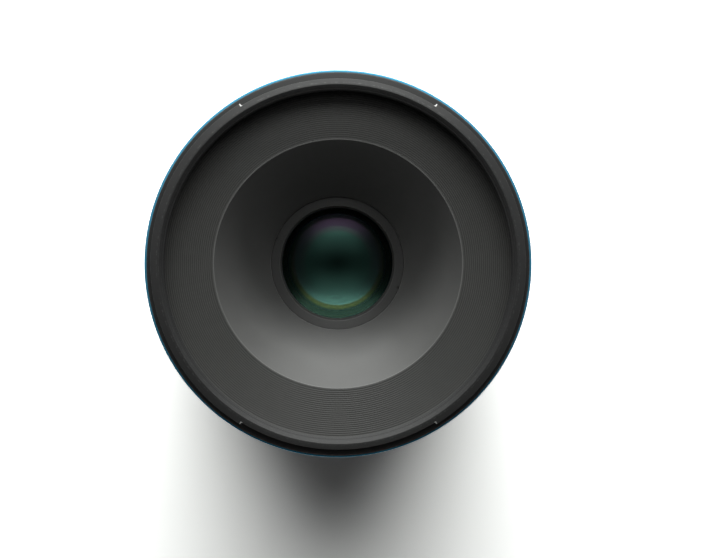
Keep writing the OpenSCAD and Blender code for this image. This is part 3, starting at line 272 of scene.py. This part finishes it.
def rounded(outline):
    """Turns each corner (radius, height, fillet) into a short curve whose middle takes wear and
    painted highlight.
    """
    steps = 4
    path = []
    for k, (radius, height, *fillet) in enumerate(outline):
        if not fillet:
            path.append((radius, height, 0.0))
            continue
        corner = Vector((radius, height))
        sides = [Vector(outline[(k + d) % len(outline)][:2]) for d in (-1, 1)]
        start, stop = (corner + (side - corner).normalized() * fillet[0] for side in sides)
        for i in range(steps + 1):
            t = i / steps
            at = start * (1 - t) ** 2 + corner * 2 * t * (1 - t) + stop * t ** 2
            path.append((at.x, at.y, 1 - abs(2 * t - 1)))
    return path


def skin(name, rings, body, finish, slot, *nodes):
    """Joins paths in millimetres, each at its own angle round the axis, into one closed piece."""
    points, edge_wear_and_highlight = [], []
    for angle, path in rings:
        turn = math.radians(angle)
        for radius, height, rub in path:
            x, y = radius * math.cos(turn), radius * math.sin(turn)
            points.append((x / MM_PER_M, y / MM_PER_M, height / MM_PER_M))
            edge_wear_and_highlight.append(rub)
    first = rings[0][1]
    length = len(first)
    ends_on_axis = first[0][0] == first[-1][0] == 0
    faces = []
    for i in range(len(rings)):
        j = (i + 1) % len(rings)
        for k in range(length - 1 if ends_on_axis else length):
            m = (k + 1) % length
            faces.append((i * length + k, j * length + k, j * length + m, i * length + m))
    mesh = bpy.data.meshes.new(name)
    mesh.from_pydata(points, [], faces)
    mesh.attributes.new("edge_wear_and_highlight", "FLOAT", "POINT").data.foreach_set("value", edge_wear_and_highlight)
    form = bmesh.new()
    form.from_mesh(mesh)
    bmesh.ops.remove_doubles(form, verts=form.verts, dist=1e-7)
    bmesh.ops.recalc_face_normals(form, faces=form.faces)
    form.to_mesh(mesh)
    form.free()
    mesh.shade_smooth()
    mesh.set_sharp_from_angle(angle=math.radians(30))
    piece = bpy.data.objects.new(name, mesh)
    bpy.context.scene.collection.objects.link(piece)
    mesh.materials.append(finish)
    piece.modifiers.new("flat faces stay flat", "WEIGHTED_NORMAL").keep_sharp = True
    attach(piece, body)
    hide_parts(*nodes)


def turned(name, outline, body, finish, slot, *nodes, steps=288):
    """A piece that is the same all round."""
    path = rounded(outline)
    skin(name, [(360 * i / steps, path) for i in range(steps)], body, finish, slot, *nodes)


def anodised(name, tone, pale, roughness, metallic, pitch, rub=0.4, bare_glint=None, **more):
    """Dyed aluminium: blasted grain over tool lines, and edges rubbed towards the metal. Where the
    optional mask gives 1, it is painted bright bare metal: partly wear and partly a painted glint."""
    f = Finish(name)
    at = f.place()
    grain = f.noise(at, 0.07)
    lines = f.lines(at, pitch)
    cloud = f.noise(at, 9.0, detail=4.0, roughness=0.6)
    patches = f.noise(at, 0.7, detail=4.0, roughness=0.65).over(0.54, blur=0.2)
    rubbed = (f.edge_wear_and_highlight() * patches).over(0.45, blur=0.5)
    lighter = tuple(value * 1.25 for value in tone)
    shade = f.mix(rubbed * rub, f.mix(cloud, tone, lighter), pale)
    if bare_glint:
        # Painted glint: bright bare metal where the mask gives 1, standing partly for wear.
        shade = f.mix(bare_glint(f, at), shade, BARE_METAL_GLINT)
    return f.surface(base_color=shade, metallic=metallic,
                     roughness=roughness + grain * 0.14 + cloud * 0.08 - rubbed * 0.12,
                     normal=f.bump(grain * 0.7 + lines * 0.5, 0.006), **more)


black = anodised("black_anodised", tone=(0.017, 0.017, 0.018), pale=(0.16, 0.16, 0.16),
                 roughness=0.36, metallic=0.1, pitch=0.08)
turned("rear_barrel_shell", [
    (NECK_R, TAIL_Z0), (TAIL_R, TAIL_Z0, BEVEL), (TAIL_R, TAPER_Z0, 0.5), (BAND_R, TAPER_Z1, 0.8),
    (BAND_R, TAIL_Z1, BEVEL), (BORE_R, TAIL_Z1), (BORE_R, TAPER_Z1), (NECK_R, TAPER_Z1)],
    "barrel", black, "black_anodised", "rear_barrel")


# Main barrel, cam sleeve and cells: the hidden works. The barrels are turned aluminium, what slides
# on them is brass, and the cells and carriers round the glass are blackened.

dress(turned_metal("inner_aluminium", bright=(0.34, 0.34, 0.35), dull=(0.2, 0.2, 0.21),
                   roughness=0.34, pitch=0.15, bite=0.008), "main_barrel", "front_barrel")
dress(turned_metal("brass_works", bright=(0.72, 0.52, 0.22), dull=(0.5, 0.34, 0.13),
                   roughness=0.26, pitch=0.1, bite=0.006),
      "cam_sleeve", "focus_key_screw", "middle_rollers", "inner_rollers", "aperture_link",
      "iris_drive_ring")
dress(cell_black, "front_cell", "front_spacer", "front_lock_ring", "middle_carrier",
      "inner_carrier", "middle_retaining_ring", "inner_retaining_ring")


# Iris: nine thin blades of blackened steel between a base plate and the drive ring. A clip ring of
# bare spring steel holds them in.

BLADES = 9

dress(blackened("iris_plate_black", (0.013, 0.013, 0.013), roughness=0.48, grain=0.1), "iris_base")
dress(turned_metal("clip_steel", bright=(0.42, 0.42, 0.42), dull=(0.24, 0.24, 0.25),
                   roughness=0.3, pitch=0.08, bite=0.004), "iris_clip_ring")
dress(blackened("blade_steel", (0.016, 0.016, 0.018), roughness=0.34, grain=0.2),
      *(f"iris_blade_{k + 1}" for k in range(BLADES)))


# Focus ring: a long black anodised tube with a smooth band at each end. The front band carries the
# distances in metres, filled with white enamel, and turns 160 degrees from far to near.

RING_BORE_R, FOCUS_Z0, FOCUS_Z1 = 33.58, 23.7, 87.7
GRIP_Z0, GRIP_Z1, GRIP_SEAT_R = 34.7, 76.7, 35.08
FOCUS_TURN, INDEX_ANGLE = 160, 90
DISTANCES = [(0, "∞"), (0.16, "1"), (0.36, "0.5"), (0.54, "0.35"), (0.7, "0.3"), (0.84, "0.25"),
             (1, "0.22")]
MARK_W, MARK_DEPTH, FIGURE_DEPTH, ENAMEL_PROUD = 0.35, 0.1, 0.05, 0.012
TYPE_SIZE = 1.37  # of a font whose figures are 1 mm high

turned("focus_ring_shell", [
    (RING_BORE_R, FOCUS_Z0), (BAND_R, FOCUS_Z0, BEVEL), (BAND_R, GRIP_Z0, 0.12),
    (GRIP_SEAT_R, GRIP_Z0), (GRIP_SEAT_R, GRIP_Z1), (BAND_R, GRIP_Z1, 0.12),
    (BAND_R, FOCUS_Z1, BEVEL), (RING_BORE_R, FOCUS_Z1)],
    "focus", black, "black_anodised", "focus_ring")


def wrapped(name, flat, body):
    """Wraps flat enamel, drawn as (across, up, out) in millimetres from the index, round a band."""
    points, faces = flat
    mesh = bpy.data.meshes.new(name)
    bent = []
    for across, up, out in points:
        turn = math.radians(INDEX_ANGLE) + across / BAND_R
        reach = (BAND_R + out) / MM_PER_M
        bent.append((reach * math.cos(turn), reach * math.sin(turn), up / MM_PER_M))
    mesh.from_pydata(bent, [], faces)
    mesh.materials.append(white)
    piece = bpy.data.objects.new(name, mesh)
    bpy.context.scene.collection.objects.link(piece)
    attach(piece, body)


def bars(places, low, high):
    """Short painted lines, one at each place across the band."""
    points, faces = [], []
    for across in places:
        base = len(points)
        points += [(across + side * MARK_W / 2, up, out) for out in (-MARK_DEPTH, ENAMEL_PROUD)
                   for side, up in ((-1, low), (1, low), (1, high), (-1, high))]
        faces += [tuple(base + k for k in face) for face in (
            (3, 2, 1, 0), (4, 5, 6, 7), (0, 1, 5, 4), (1, 2, 6, 5), (2, 3, 7, 6), (3, 0, 4, 7))]
    return points, faces


def figures(scale, height, foot):
    """Plain numbers, each (across, text), standing on one line and cut from thin enamel."""
    points, faces = [], []
    for across, text in scale:
        curve = bpy.data.curves.new("figure", "FONT")
        curve.body, curve.size, curve.align_x = text, height * TYPE_SIZE, "CENTER"
        curve.extrude, curve.resolution_u = FIGURE_DEPTH, 4
        drawn = bpy.data.objects.new("figure", curve)
        mesh = drawn.to_mesh()
        base = len(points)
        points += [(across + v.co.x, foot + v.co.y, v.co.z + ENAMEL_PROUD - FIGURE_DEPTH)
                   for v in mesh.vertices]
        faces += [tuple(base + k for k in face.vertices) for face in mesh.polygons]
        drawn.to_mesh_clear()
        bpy.data.objects.remove(drawn)
    return points, faces


def across_band(share, turn):
    """Where a mark stands on its band that reaches the index after that share of the turn."""
    return -math.radians(share * turn) * BAND_R


distances = [(across_band(share, FOCUS_TURN), text) for share, text in DISTANCES]
wrapped("distance_marks", bars([across for across, text in distances], low=85.34, high=87.1),
        "focus")
wrapped("distance_numbers", figures(distances, height=2.6, foot=81.4), "focus")


# Focus grip: a moulded rubber sleeve stretched over the focus ring, with 84 straight ribs for the
# fingers. The rubber is matt and greys a little on its crests.

GRIP_RIBS, RIB_FOOT_R, RIB_R, CREST_R = 84, 35.9, 36.8, 36.6
SLEEVE_R, SLEEVE_Z0, SLEEVE_Z1 = GRIP_SEAT_R + 0.02, GRIP_Z0 + 0.02, GRIP_Z1 - 0.02
RUBBER, RUBBED_RUBBER = (0.011, 0.011, 0.011), (0.03, 0.029, 0.028)
# Each rib's form, as (share of the pitch, share of the rib's height).
GRIP_RIB = [(0, 0), (0.26, 0), (0.33, 0.35), (0.38, 0.85), (0.43, 1), (0.87, 1), (0.92, 0.85),
            (0.97, 0.35)]


def ribbed(name, count, rib, section, body, finish, slot, *nodes):
    """A ribbed ring: section(r) is its outline where the surface stands at radius r."""
    rings = []
    for i in range(count):
        for share, lift in rib:
            outline = section(RIB_FOOT_R + (RIB_R - RIB_FOOT_R) * lift)
            path = [(radius, height, rub * lift) for radius, height, rub in rounded(outline)]
            rings.append(((i + share) * 360 / count, path))
    skin(name, rings, body, finish, slot, *nodes)


def grip_section(r):
    return [(SLEEVE_R, SLEEVE_Z0), (r, SLEEVE_Z0, 0.35), (r, SLEEVE_Z1, 0.35),
            (SLEEVE_R, SLEEVE_Z1)]


def rubber():
    """Moulded rubber with a fine leathery skin and dust in the grooves."""
    f = Finish("grip_rubber")
    at = f.place()
    leather = f.noise(at, 0.22, detail=4.0, roughness=0.6)
    dust = f.noise(at, 3.0, detail=5.0, roughness=0.65)
    crest = f.from_axis(at).over(CREST_R, blur=0.3)
    rubbed = crest * 0.5 + dust.over(0.6, blur=0.3) * 0.3
    return f.surface(base_color=f.mix(rubbed, RUBBER, RUBBED_RUBBER), specular_ior_level=0.35,
                     roughness=0.74 - crest * 0.12 + dust * 0.12, normal=f.bump(leather, 0.03))


ribbed("focus_grip_sleeve", GRIP_RIBS, GRIP_RIB, grip_section, "focus", rubber(), "grip_rubber",
       "focus_grip")


# Index ring: the fixed band between the two control rings. Its white line is read against both
# scales, and three dark grub screws hold it.

INDEX_Z0, INDEX_Z1 = 87.8, 96.0

turned("index_ring_shell", [
    (BORE_R, INDEX_Z0), (BAND_R, INDEX_Z0, BEVEL), (BAND_R, INDEX_Z1, BEVEL), (BORE_R, INDEX_Z1)],
    "barrel", black, "black_anodised", "index_ring")
wrapped("index_line", bars([0], low=88.4, high=95.4), "barrel")


# Aperture ring: turned and milled aluminium, black anodised, with 80 straight ribs on its front
# half and the f-numbers on its smooth band. It turns 54 degrees without clicks.

APERTURE_Z0, APERTURE_Z1, APERTURE_BAND, APERTURE_TURN = 96.1, 108.1, 5.0, 54
APERTURE_RIBS, MILLED_Z0, MILLED_Z1 = 80, APERTURE_Z0 + APERTURE_BAND, APERTURE_Z1 - 0.6
FRONT_EDGE_R, RUN_IN = BAND_R - 0.3, 0.15
MILLED_RIB = [(0, 0), (0.28, 0), (0.37, 0.8), (0.42, 1), (0.88, 1), (0.93, 0.8)]
F_NUMBERS = ["2.8", "4", "5.6", "8", "11", "16", "22"]


def aperture_section(r):
    """A smooth band below, and ribs up to radius r above it."""
    return [(RING_BORE_R, APERTURE_Z0), (BAND_R, APERTURE_Z0, BEVEL), (BAND_R, MILLED_Z0 - RUN_IN),
            (max(r, FRONT_EDGE_R), MILLED_Z0 + RUN_IN, 0.12), (r, MILLED_Z1, 0.25),
            (FRONT_EDGE_R, APERTURE_Z1), (RING_BORE_R, APERTURE_Z1)]


ribbed("aperture_ring_shell", APERTURE_RIBS, MILLED_RIB, aperture_section, "aperture", black,
       "black_anodised", "aperture_ring")
stops = [(across_band(k / (len(F_NUMBERS) - 1), APERTURE_TURN), text)
         for k, text in enumerate(F_NUMBERS)]
wrapped("aperture_marks", bars([across for across, text in stops], low=96.6, high=97.5), "aperture")
wrapped("aperture_numbers", figures(stops, height=2.1, foot=98.2), "aperture")


# Front glass: the first elements of the lens, seen down the light cone. Their coatings show the
# studio's soft lights as arcs of teal, violet and olive.

LAND, DOME_STEPS = 0.8, 24
GREY, OLIVE, DEEP_GREEN = (0.78, 0.92, 1.0), (0.6, 0.9, 0.3), (0.4, 0.85, 0.6)


def dome(radius, curve, height, away):
    """A polished face from the axis out to its flat land. A hollow one has a negative curve."""
    drop = abs(curve) - math.sqrt(curve ** 2 - radius ** 2)
    points = []
    for i in range(DOME_STEPS + 1):
        r = radius * i / DOME_STEPS
        rise = abs(curve) - math.sqrt(curve ** 2 - r * r)
        points.append((r, height + (drop - rise if curve > 0 else rise - drop) * away))
    return points


def element(name, radius, edge, foot, front, back, finish):
    """A glass element by its radius, the thickness and height of its edge, and two curves."""
    face, rear = dome(radius - LAND, front, foot + edge, 1), dome(radius - LAND, back, foot, -1)
    turned(name + "_glass", [*face, (radius, foot + edge), (radius, foot), *reversed(rear)],
           "barrel", finish, "coated_glass", name, steps=144)


element("front_element", radius=12.6, edge=3.0, foot=84.6, front=31, back=-90,
        finish=coated_glass("front_coating",
                            [(TEAL, 0.05, 6.5), (GREY, 0.024, 7.4), (VIOLET, 0.014, 9.0)],
                            [(TEAL, 0.0, 6.5)]))
dress(coated_glass("second_coating", [(TEAL, 0.0, 9.0)], [(TEAL, 0.0, 9.0)]), "second_element")
third_zones = [(TEAL, 0.085, 8.6), (OLIVE, 0.038, 9.4), (DEEP_GREEN, 0.014, 11.3)]
dress(coated_glass("third_coating", third_zones, third_zones), "third_element")
dress(coated_glass("fourth_coating", [(TEAL, 0.03, 6.5)], [(TEAL, 0.03, 6.5)]), "fourth_element")


# Front retaining ring: a satin black ring screwed down on the front element, with a bevel round the
# glass and two small notches for the spanner.

LOCK_Z, LOCK_R, LOCK_IN_R, LOCK_BEVEL = 91.0, 13.16, 11.03, 0.4
LOCK_Z0, LIP_Z, GLASS_SEAT_R, GLASS_SEAT_Z = 87.6, 88.2, 11.82, 87.8
NOTCHES, NOTCH_HALF, NOTCH_WALL = (158, 338), 0.9, 0.02
HAIR = 0.001  # keeps two points of a section from falling together
EDGE_CLEAR = 0.4
DUST, SATIN_EDGE_HIGHLIGHT = (0.35, 0.35, 0.34), (0.22, 0.22, 0.215)
TURNED = {"anisotropic": 0.85, "anisotropic_rotation": 0.25}  # gloss spreads across the tool lines


def retaining_section(notched):
    """The ring's section, with the same number of points in a notch as beside it."""
    step = LOCK_BEVEL if notched else 0.0
    return rounded([
        (GLASS_SEAT_R, LOCK_Z0), (LOCK_R, LOCK_Z0), (LOCK_R, LOCK_Z - step - HAIR),
        (LOCK_R - step - HAIR, LOCK_Z - step), (LOCK_R - step - 2 * HAIR, LOCK_Z),
        (LOCK_IN_R + LOCK_BEVEL, LOCK_Z, 0.06), (LOCK_IN_R, LOCK_Z - 2 * LOCK_BEVEL, 0.06),
        (LOCK_IN_R, LIP_Z), (GLASS_SEAT_R, GLASS_SEAT_Z)])


def stations(count, edges):
    """Angles all round: count even steps, but at the edges of cuts the edges instead."""
    even = [360 * i / count for i in range(count)]
    return sorted([a for a in even if all(abs(a - edge) > EDGE_CLEAR for edge in edges)] + edges)


def within(angle, middles, half):
    return any(abs(angle - middle) < half for middle in middles)


def satin(name, tone, roughness, pitch, bite, gloss):
    """Satin black on turned metal: the tool lines barely show through, and rounded edges are
    painted pale as a highlight.
    """
    f = Finish(name)
    at = f.place()
    lines = f.lines(at, pitch)
    mist = f.noise(at, 5.0, detail=5.0, roughness=0.6)
    dust = f.noise(at, 0.11).over(0.76, blur=0.03)
    pale = tuple(value * 1.5 for value in tone)
    # Painted highlight: every rounded edge is mixed halfway towards a pale grey.
    shade = f.mix(f.edge_wear_and_highlight() * 0.5, f.mix(mist * 0.5, tone, pale), SATIN_EDGE_HIGHLIGHT)
    return f.surface(base_color=f.mix(dust * 0.25, shade, DUST),
                     roughness=roughness + mist * 0.08 + lines * 0.05, specular_ior_level=gloss,
                     normal=f.bump(lines, bite), **TURNED)


notch_edges = [middle + d for middle in NOTCHES for d in (
    -NOTCH_HALF, -NOTCH_HALF + NOTCH_WALL, NOTCH_HALF - NOTCH_WALL, NOTCH_HALF)]
skin("front_retaining_ring_turned",
     [(angle, retaining_section(within(angle, NOTCHES, NOTCH_HALF - NOTCH_WALL / 2)))
      for angle in stations(288, notch_edges)],
     "barrel", satin("ring_black", (0.04, 0.04, 0.04), roughness=0.42, pitch=0.1, bite=0.002,
                     gloss=0.5), "satin_black", "front_retaining_ring")


# Light cone: a turned aluminium funnel in satin black between the trim plate and the front glass.
# It keeps side light off the glass, and its mouth has a fine lip, painted pale as a highlight.

CONE_MOUTH_R, CONE_LIP_R, CONE_END_R, PLATE_Z, PLATE_SEAT_Z = 23.75, 24.0, 13.2, 111.0, 110.2
CONE_Z0, CONE_END_Z, CONE_FOOT_R = 90.45, 91.55, 14.6
CONE_OUT_R, FLANGE_Z, FLANGE_R = 24.04, 109.0, 32.2

turned("light_cone_turned", [
    (CONE_END_R, CONE_Z0), (CONE_FOOT_R, CONE_Z0), (CONE_FOOT_R, CONE_END_Z),
    (CONE_OUT_R, FLANGE_Z), (FLANGE_R, FLANGE_Z), (FLANGE_R, PLATE_SEAT_Z),
    (CONE_LIP_R, PLATE_SEAT_Z), (CONE_LIP_R, PLATE_Z, 0.05), (CONE_MOUTH_R, PLATE_Z, 0.1),
    (CONE_END_R, CONE_END_Z, 0.3)],
    "barrel", satin("cone_black", (0.075, 0.075, 0.074), roughness=0.5, pitch=0.16, bite=0.001,
                    gloss=0.75), "satin_black", "light_cone")


# Trim plate: a thin black disc that fills the space between the cone's mouth and the filter thread.
# It is faced on the lathe, and the tool leaves a fine groove every 0.39 mm.

PLATE_IN_R, PLATE_OUT_R, GROOVED_R, GROOVE_PITCH, GROOVE_D = 24.02, 33.44, 33.0, 0.39, 0.05
SHADED_GROOVE_TONE, CREST_TONE = (0.031, 0.031, 0.0305), (0.066, 0.066, 0.064)


def plate_finish():
    """Matt black, painted darker in the grooves as shade and slightly greyer on the crests."""
    f = Finish("turned_plate")
    at = f.place()
    crest = f.part(at, "Z").over(PLATE_Z - GROOVE_D * 0.35, blur=GROOVE_D * 0.6)
    mist = f.noise(at, 3.0, detail=4.0, roughness=0.6)
    grain = f.noise(at, 0.06)
    dust = f.noise(at, 0.1).over(0.74, blur=0.03)
    # Painted shade: the grooves are painted darker than the crests.
    shade = f.mix(crest * 0.7 + mist * 0.25, SHADED_GROOVE_TONE, CREST_TONE)
    return f.surface(base_color=f.mix(dust * 0.3, shade, DUST),
                     roughness=0.56 + grain * 0.1 - crest * 0.06, specular_ior_level=0.4,
                     normal=f.bump(grain, 0.004), **TURNED)


grooves = []
for i in range(int((GROOVED_R - PLATE_IN_R) / GROOVE_PITCH)):
    start = GROOVED_R - i * GROOVE_PITCH
    grooves += [(start, PLATE_Z), (start - GROOVE_PITCH * 0.3, PLATE_Z - GROOVE_D),
                (start - GROOVE_PITCH * 0.6, PLATE_Z)]
turned("trim_plate_turned", [
    (PLATE_IN_R, PLATE_SEAT_Z), (PLATE_OUT_R, PLATE_SEAT_Z), (PLATE_OUT_R, PLATE_Z), *grooves,
    (PLATE_IN_R, PLATE_Z, 0.05)], "barrel", plate_finish(), "turned_plate", "trim_plate", steps=360)


# Front ring: black anodised aluminium with the filter thread inside, a rounded rim, and the hood
# bayonet outside. The tabs' end walls are painted bright bare metal, partly wear from hoods being
# turned on and partly a painted glint.

RIM_Z, RIM_IN_R, RIM_FLAT_R, HOOD_SEAT_R, TAB_R, TAB_T = 117.0, 33.95, 34.35, 35.1, 35.56, 1.4
SHOULDER_R, SHOULDER_Z, SHOULDER_Z0, SKIRT_R, SKIRT_Z = 36.46, 113.5, 111.5, 35.0, 108.2
FLARE_R, FLARE_Z, LEAD_R, LEAD_Z = 33.55, 116.5, 33.27, 115.95
THREAD_R, THREAD_Z0, THREAD_Z1, THREAD_PITCH, THREAD_D = 33.1, 111.1, 115.9, 0.75, 0.3
THREAD_ROWS, RUN_OUT_FRONT, RUN_OUT_BACK = 60, 0.3, 0.5
CUTOUTS, CUTOUT_HALF, TAB_WALL, WORN_GLINT_W = (90, 270), 31.5, 0.04, 0.22


def thread(angle):
    """The filter thread at one angle, from its front end down to the plate."""
    points = []
    for i in range(THREAD_ROWS + 1):
        z = THREAD_Z1 - (THREAD_Z1 - THREAD_Z0) * i / THREAD_ROWS
        wave = abs(((z / THREAD_PITCH - angle / 360) % 1) * 2 - 1)
        run_out = min(1, (THREAD_Z1 - z) / RUN_OUT_FRONT, (z - THREAD_Z0) / RUN_OUT_BACK)
        flattened = min(1, max(0, wave * 1.3 - 0.15))
        points.append((THREAD_R + THREAD_D * run_out * flattened, z))
    return points


def front_section(angle, tabbed):
    """The ring's section at one angle, through a hood tab or through a cut-out."""
    out = TAB_R if tabbed else HOOD_SEAT_R + HAIR
    return rounded([
        (BORE_R, SKIRT_Z), (SKIRT_R, SKIRT_Z), (SKIRT_R, SHOULDER_Z0),
        (SHOULDER_R, SHOULDER_Z0, 0.1), (SHOULDER_R, SHOULDER_Z, 0.3),
        (HOOD_SEAT_R, SHOULDER_Z), (HOOD_SEAT_R, RIM_Z - TAB_T),
        (out, RIM_Z - TAB_T, 0.1 if tabbed else HAIR / 2),
        (out, RIM_Z - (out - RIM_FLAT_R) * 0.7 - 0.12, 0.15), (RIM_FLAT_R, RIM_Z - 0.15, 0.2),
        (RIM_IN_R, RIM_Z, 0.08), (FLARE_R, FLARE_Z, 0.1), (LEAD_R, LEAD_Z)]
        + thread(angle) + [(BORE_R, THREAD_Z0)])


def tab_end_wear_and_glint(f, at):
    """1 on the end walls of the tabs and just beside them: the painted glint, also standing for
    wear.
    """
    x, y = (f.part(at, axis).maths("ABSOLUTE") for axis in "XY")
    from_wall = (x - y * math.tan(math.radians(CUTOUT_HALF))).maths("ABSOLUTE")
    on_tab = f.from_axis(at).over(HOOD_SEAT_R - 0.1, blur=0.1)
    above = f.part(at, "Z").over(RIM_Z - TAB_T, blur=0.1)
    return (1 - from_wall.over(WORN_GLINT_W, blur=0.15)) * on_tab * above


tab_edges = [middle + side * (CUTOUT_HALF + d) for middle in CUTOUTS for side in (-1, 1)
             for d in (-TAB_WALL, TAB_WALL)]
skin("front_ring_turned",
     [(angle, front_section(angle, not within(angle, CUTOUTS, CUTOUT_HALF)))
      for angle in stations(720, tab_edges)],
     "barrel", anodised("front_ring_black", tone=(0.025, 0.025, 0.0255), pale=(0.18, 0.18, 0.18),
                        roughness=0.46, metallic=0.1, pitch=0.1, rub=0.2, bare_glint=tab_end_wear_and_glint, **TURNED),
     "black_anodised", "front_ring")


# Accent ring: a slim aluminium ring dyed blue, clamped between the aperture ring and the hood
# bayonet. It is satin, with fine lines round it and bevels that catch the light.

ACCENT_R, ACCENT_IN_R, ACCENT_Z0, ACCENT_Z1 = 37.0, 35.02, 108.2, 111.48

turned("accent_ring_turned", [
    (ACCENT_IN_R, ACCENT_Z0), (ACCENT_R, ACCENT_Z0, BEVEL), (ACCENT_R, ACCENT_Z1, BEVEL),
    (ACCENT_IN_R, ACCENT_Z1)],
    "barrel", anodised("blue_anodised", tone=(0.045, 0.26, 0.42), pale=(0.3, 0.5, 0.6),
                       roughness=0.3, metallic=0.45, pitch=0.12), "blue_anodised", "accent_ring")


# Studio: a white table, soft lights high and low on the +Y side, and a faint one low on the other.
# The camera looks straight down into the front of the lens.

TABLE_Z, TABLE_HALF = -0.0052, 4  # in metres, like the camera's and the lamps' places
TABLE_TONE, SEEN_BRIGHTER = 0.78, 1.3
HORIZON, AMBIENT = 0.85, 0.012
LAMP_TONE, LAMPS_AIM = (0.98, 1.0, 0.975), Vector((0, 0, 0.1))
CAMERA_AT, CAMERA_TO = Vector((-0.003, 0.0037, 0.5947)), Vector((0.0023, -0.0028, 0.117))
FOCAL_PX, PHOTO_W, SENSOR_W = 2531, 701, 36

scene = bpy.context.scene
scene.view_settings.view_transform = "Standard"

table_mesh = bpy.data.meshes.new("table")
table_mesh.from_pydata([(x * TABLE_HALF, y * TABLE_HALF, TABLE_Z)
                        for x, y in ((-1, -1), (1, -1), (1, 1), (-1, 1))], [], [(0, 1, 2, 3)])
table = bpy.data.objects.new("table", table_mesh)
scene.collection.objects.link(table)
laminate = Finish("table_white")
seen = laminate.node("LightPath", out="Is Camera Ray")
mottle = laminate.noise(laminate.place(), 30.0) * 0.03
level = seen * SEEN_BRIGHTER + TABLE_TONE + mottle
tone = laminate.node("CombineColor", {}, dict.fromkeys(("Red", "Green", "Blue"), level))
table_mesh.materials.append(laminate.end(laminate.node("BsdfDiffuse", {}, {"Color": tone})))

world = bpy.data.worlds.new("studio")
scene.world = world
room = Finish("studio", world, "OutputWorld")
up = room.part(room.node("TexCoord", out="Generated"), "Z")
camera_ray, glossy, through = (room.node("LightPath", out=f"Is {kind} Ray")
                               for kind in ("Camera", "Glossy", "Transmission"))
pale_horizon = (1 - up.over(0.3, blur=0.5)) * (glossy * HORIZON + through * HORIZON)
strength = camera_ray + (1 - camera_ray) * (pale_horizon + AMBIENT)
room.end(room.node("Background", {}, {"Color": (1, 1, 1, 1), "Strength": strength}))


def softbox(name, elevation, distance, width, height, power):
    """A long oval light, raised so many degrees from the +Y side and aimed at the lens."""
    lamp = bpy.data.lights.new(name, "AREA")
    lamp.shape, lamp.size, lamp.size_y, lamp.energy = "ELLIPSE", width, height, power
    lamp.color = LAMP_TONE
    held = bpy.data.objects.new(name, lamp)
    scene.collection.objects.link(held)
    lift = math.radians(elevation)
    back = Vector((0, math.cos(lift), math.sin(lift)))
    held.location = LAMPS_AIM + back * distance
    held.rotation_mode = "QUATERNION"
    held.rotation_quaternion = back.to_track_quat("Z", "Y")
    held.visible_camera = False


softbox("main_softbox", elevation=53, distance=1.1, width=1.35, height=0.5, power=7.4)
softbox("overhead_softbox", elevation=76, distance=1.0, width=0.6, height=0.25, power=0.5)
softbox("low_softbox", elevation=24, distance=1.3, width=1.8, height=0.36, power=23.0)
softbox("far_side_fill", elevation=177, distance=1.5, width=1.6, height=0.3, power=1.3)

camera = bpy.data.objects.new("camera", bpy.data.cameras.new("camera"))
scene.collection.objects.link(camera)
scene.camera = camera
camera.data.sensor_width, camera.data.lens = SENSOR_W, FOCAL_PX / PHOTO_W * SENSOR_W
camera.data.clip_start = 0.01
ahead = (CAMERA_TO - CAMERA_AT).normalized()
right = ahead.cross(Vector((0, 1, 0))).normalized()
turn = Matrix((right, right.cross(ahead), -ahead)).transposed()
camera.rotation_mode, camera.rotation_quaternion = "QUATERNION", turn.to_quaternion()
camera.location = CAMERA_AT
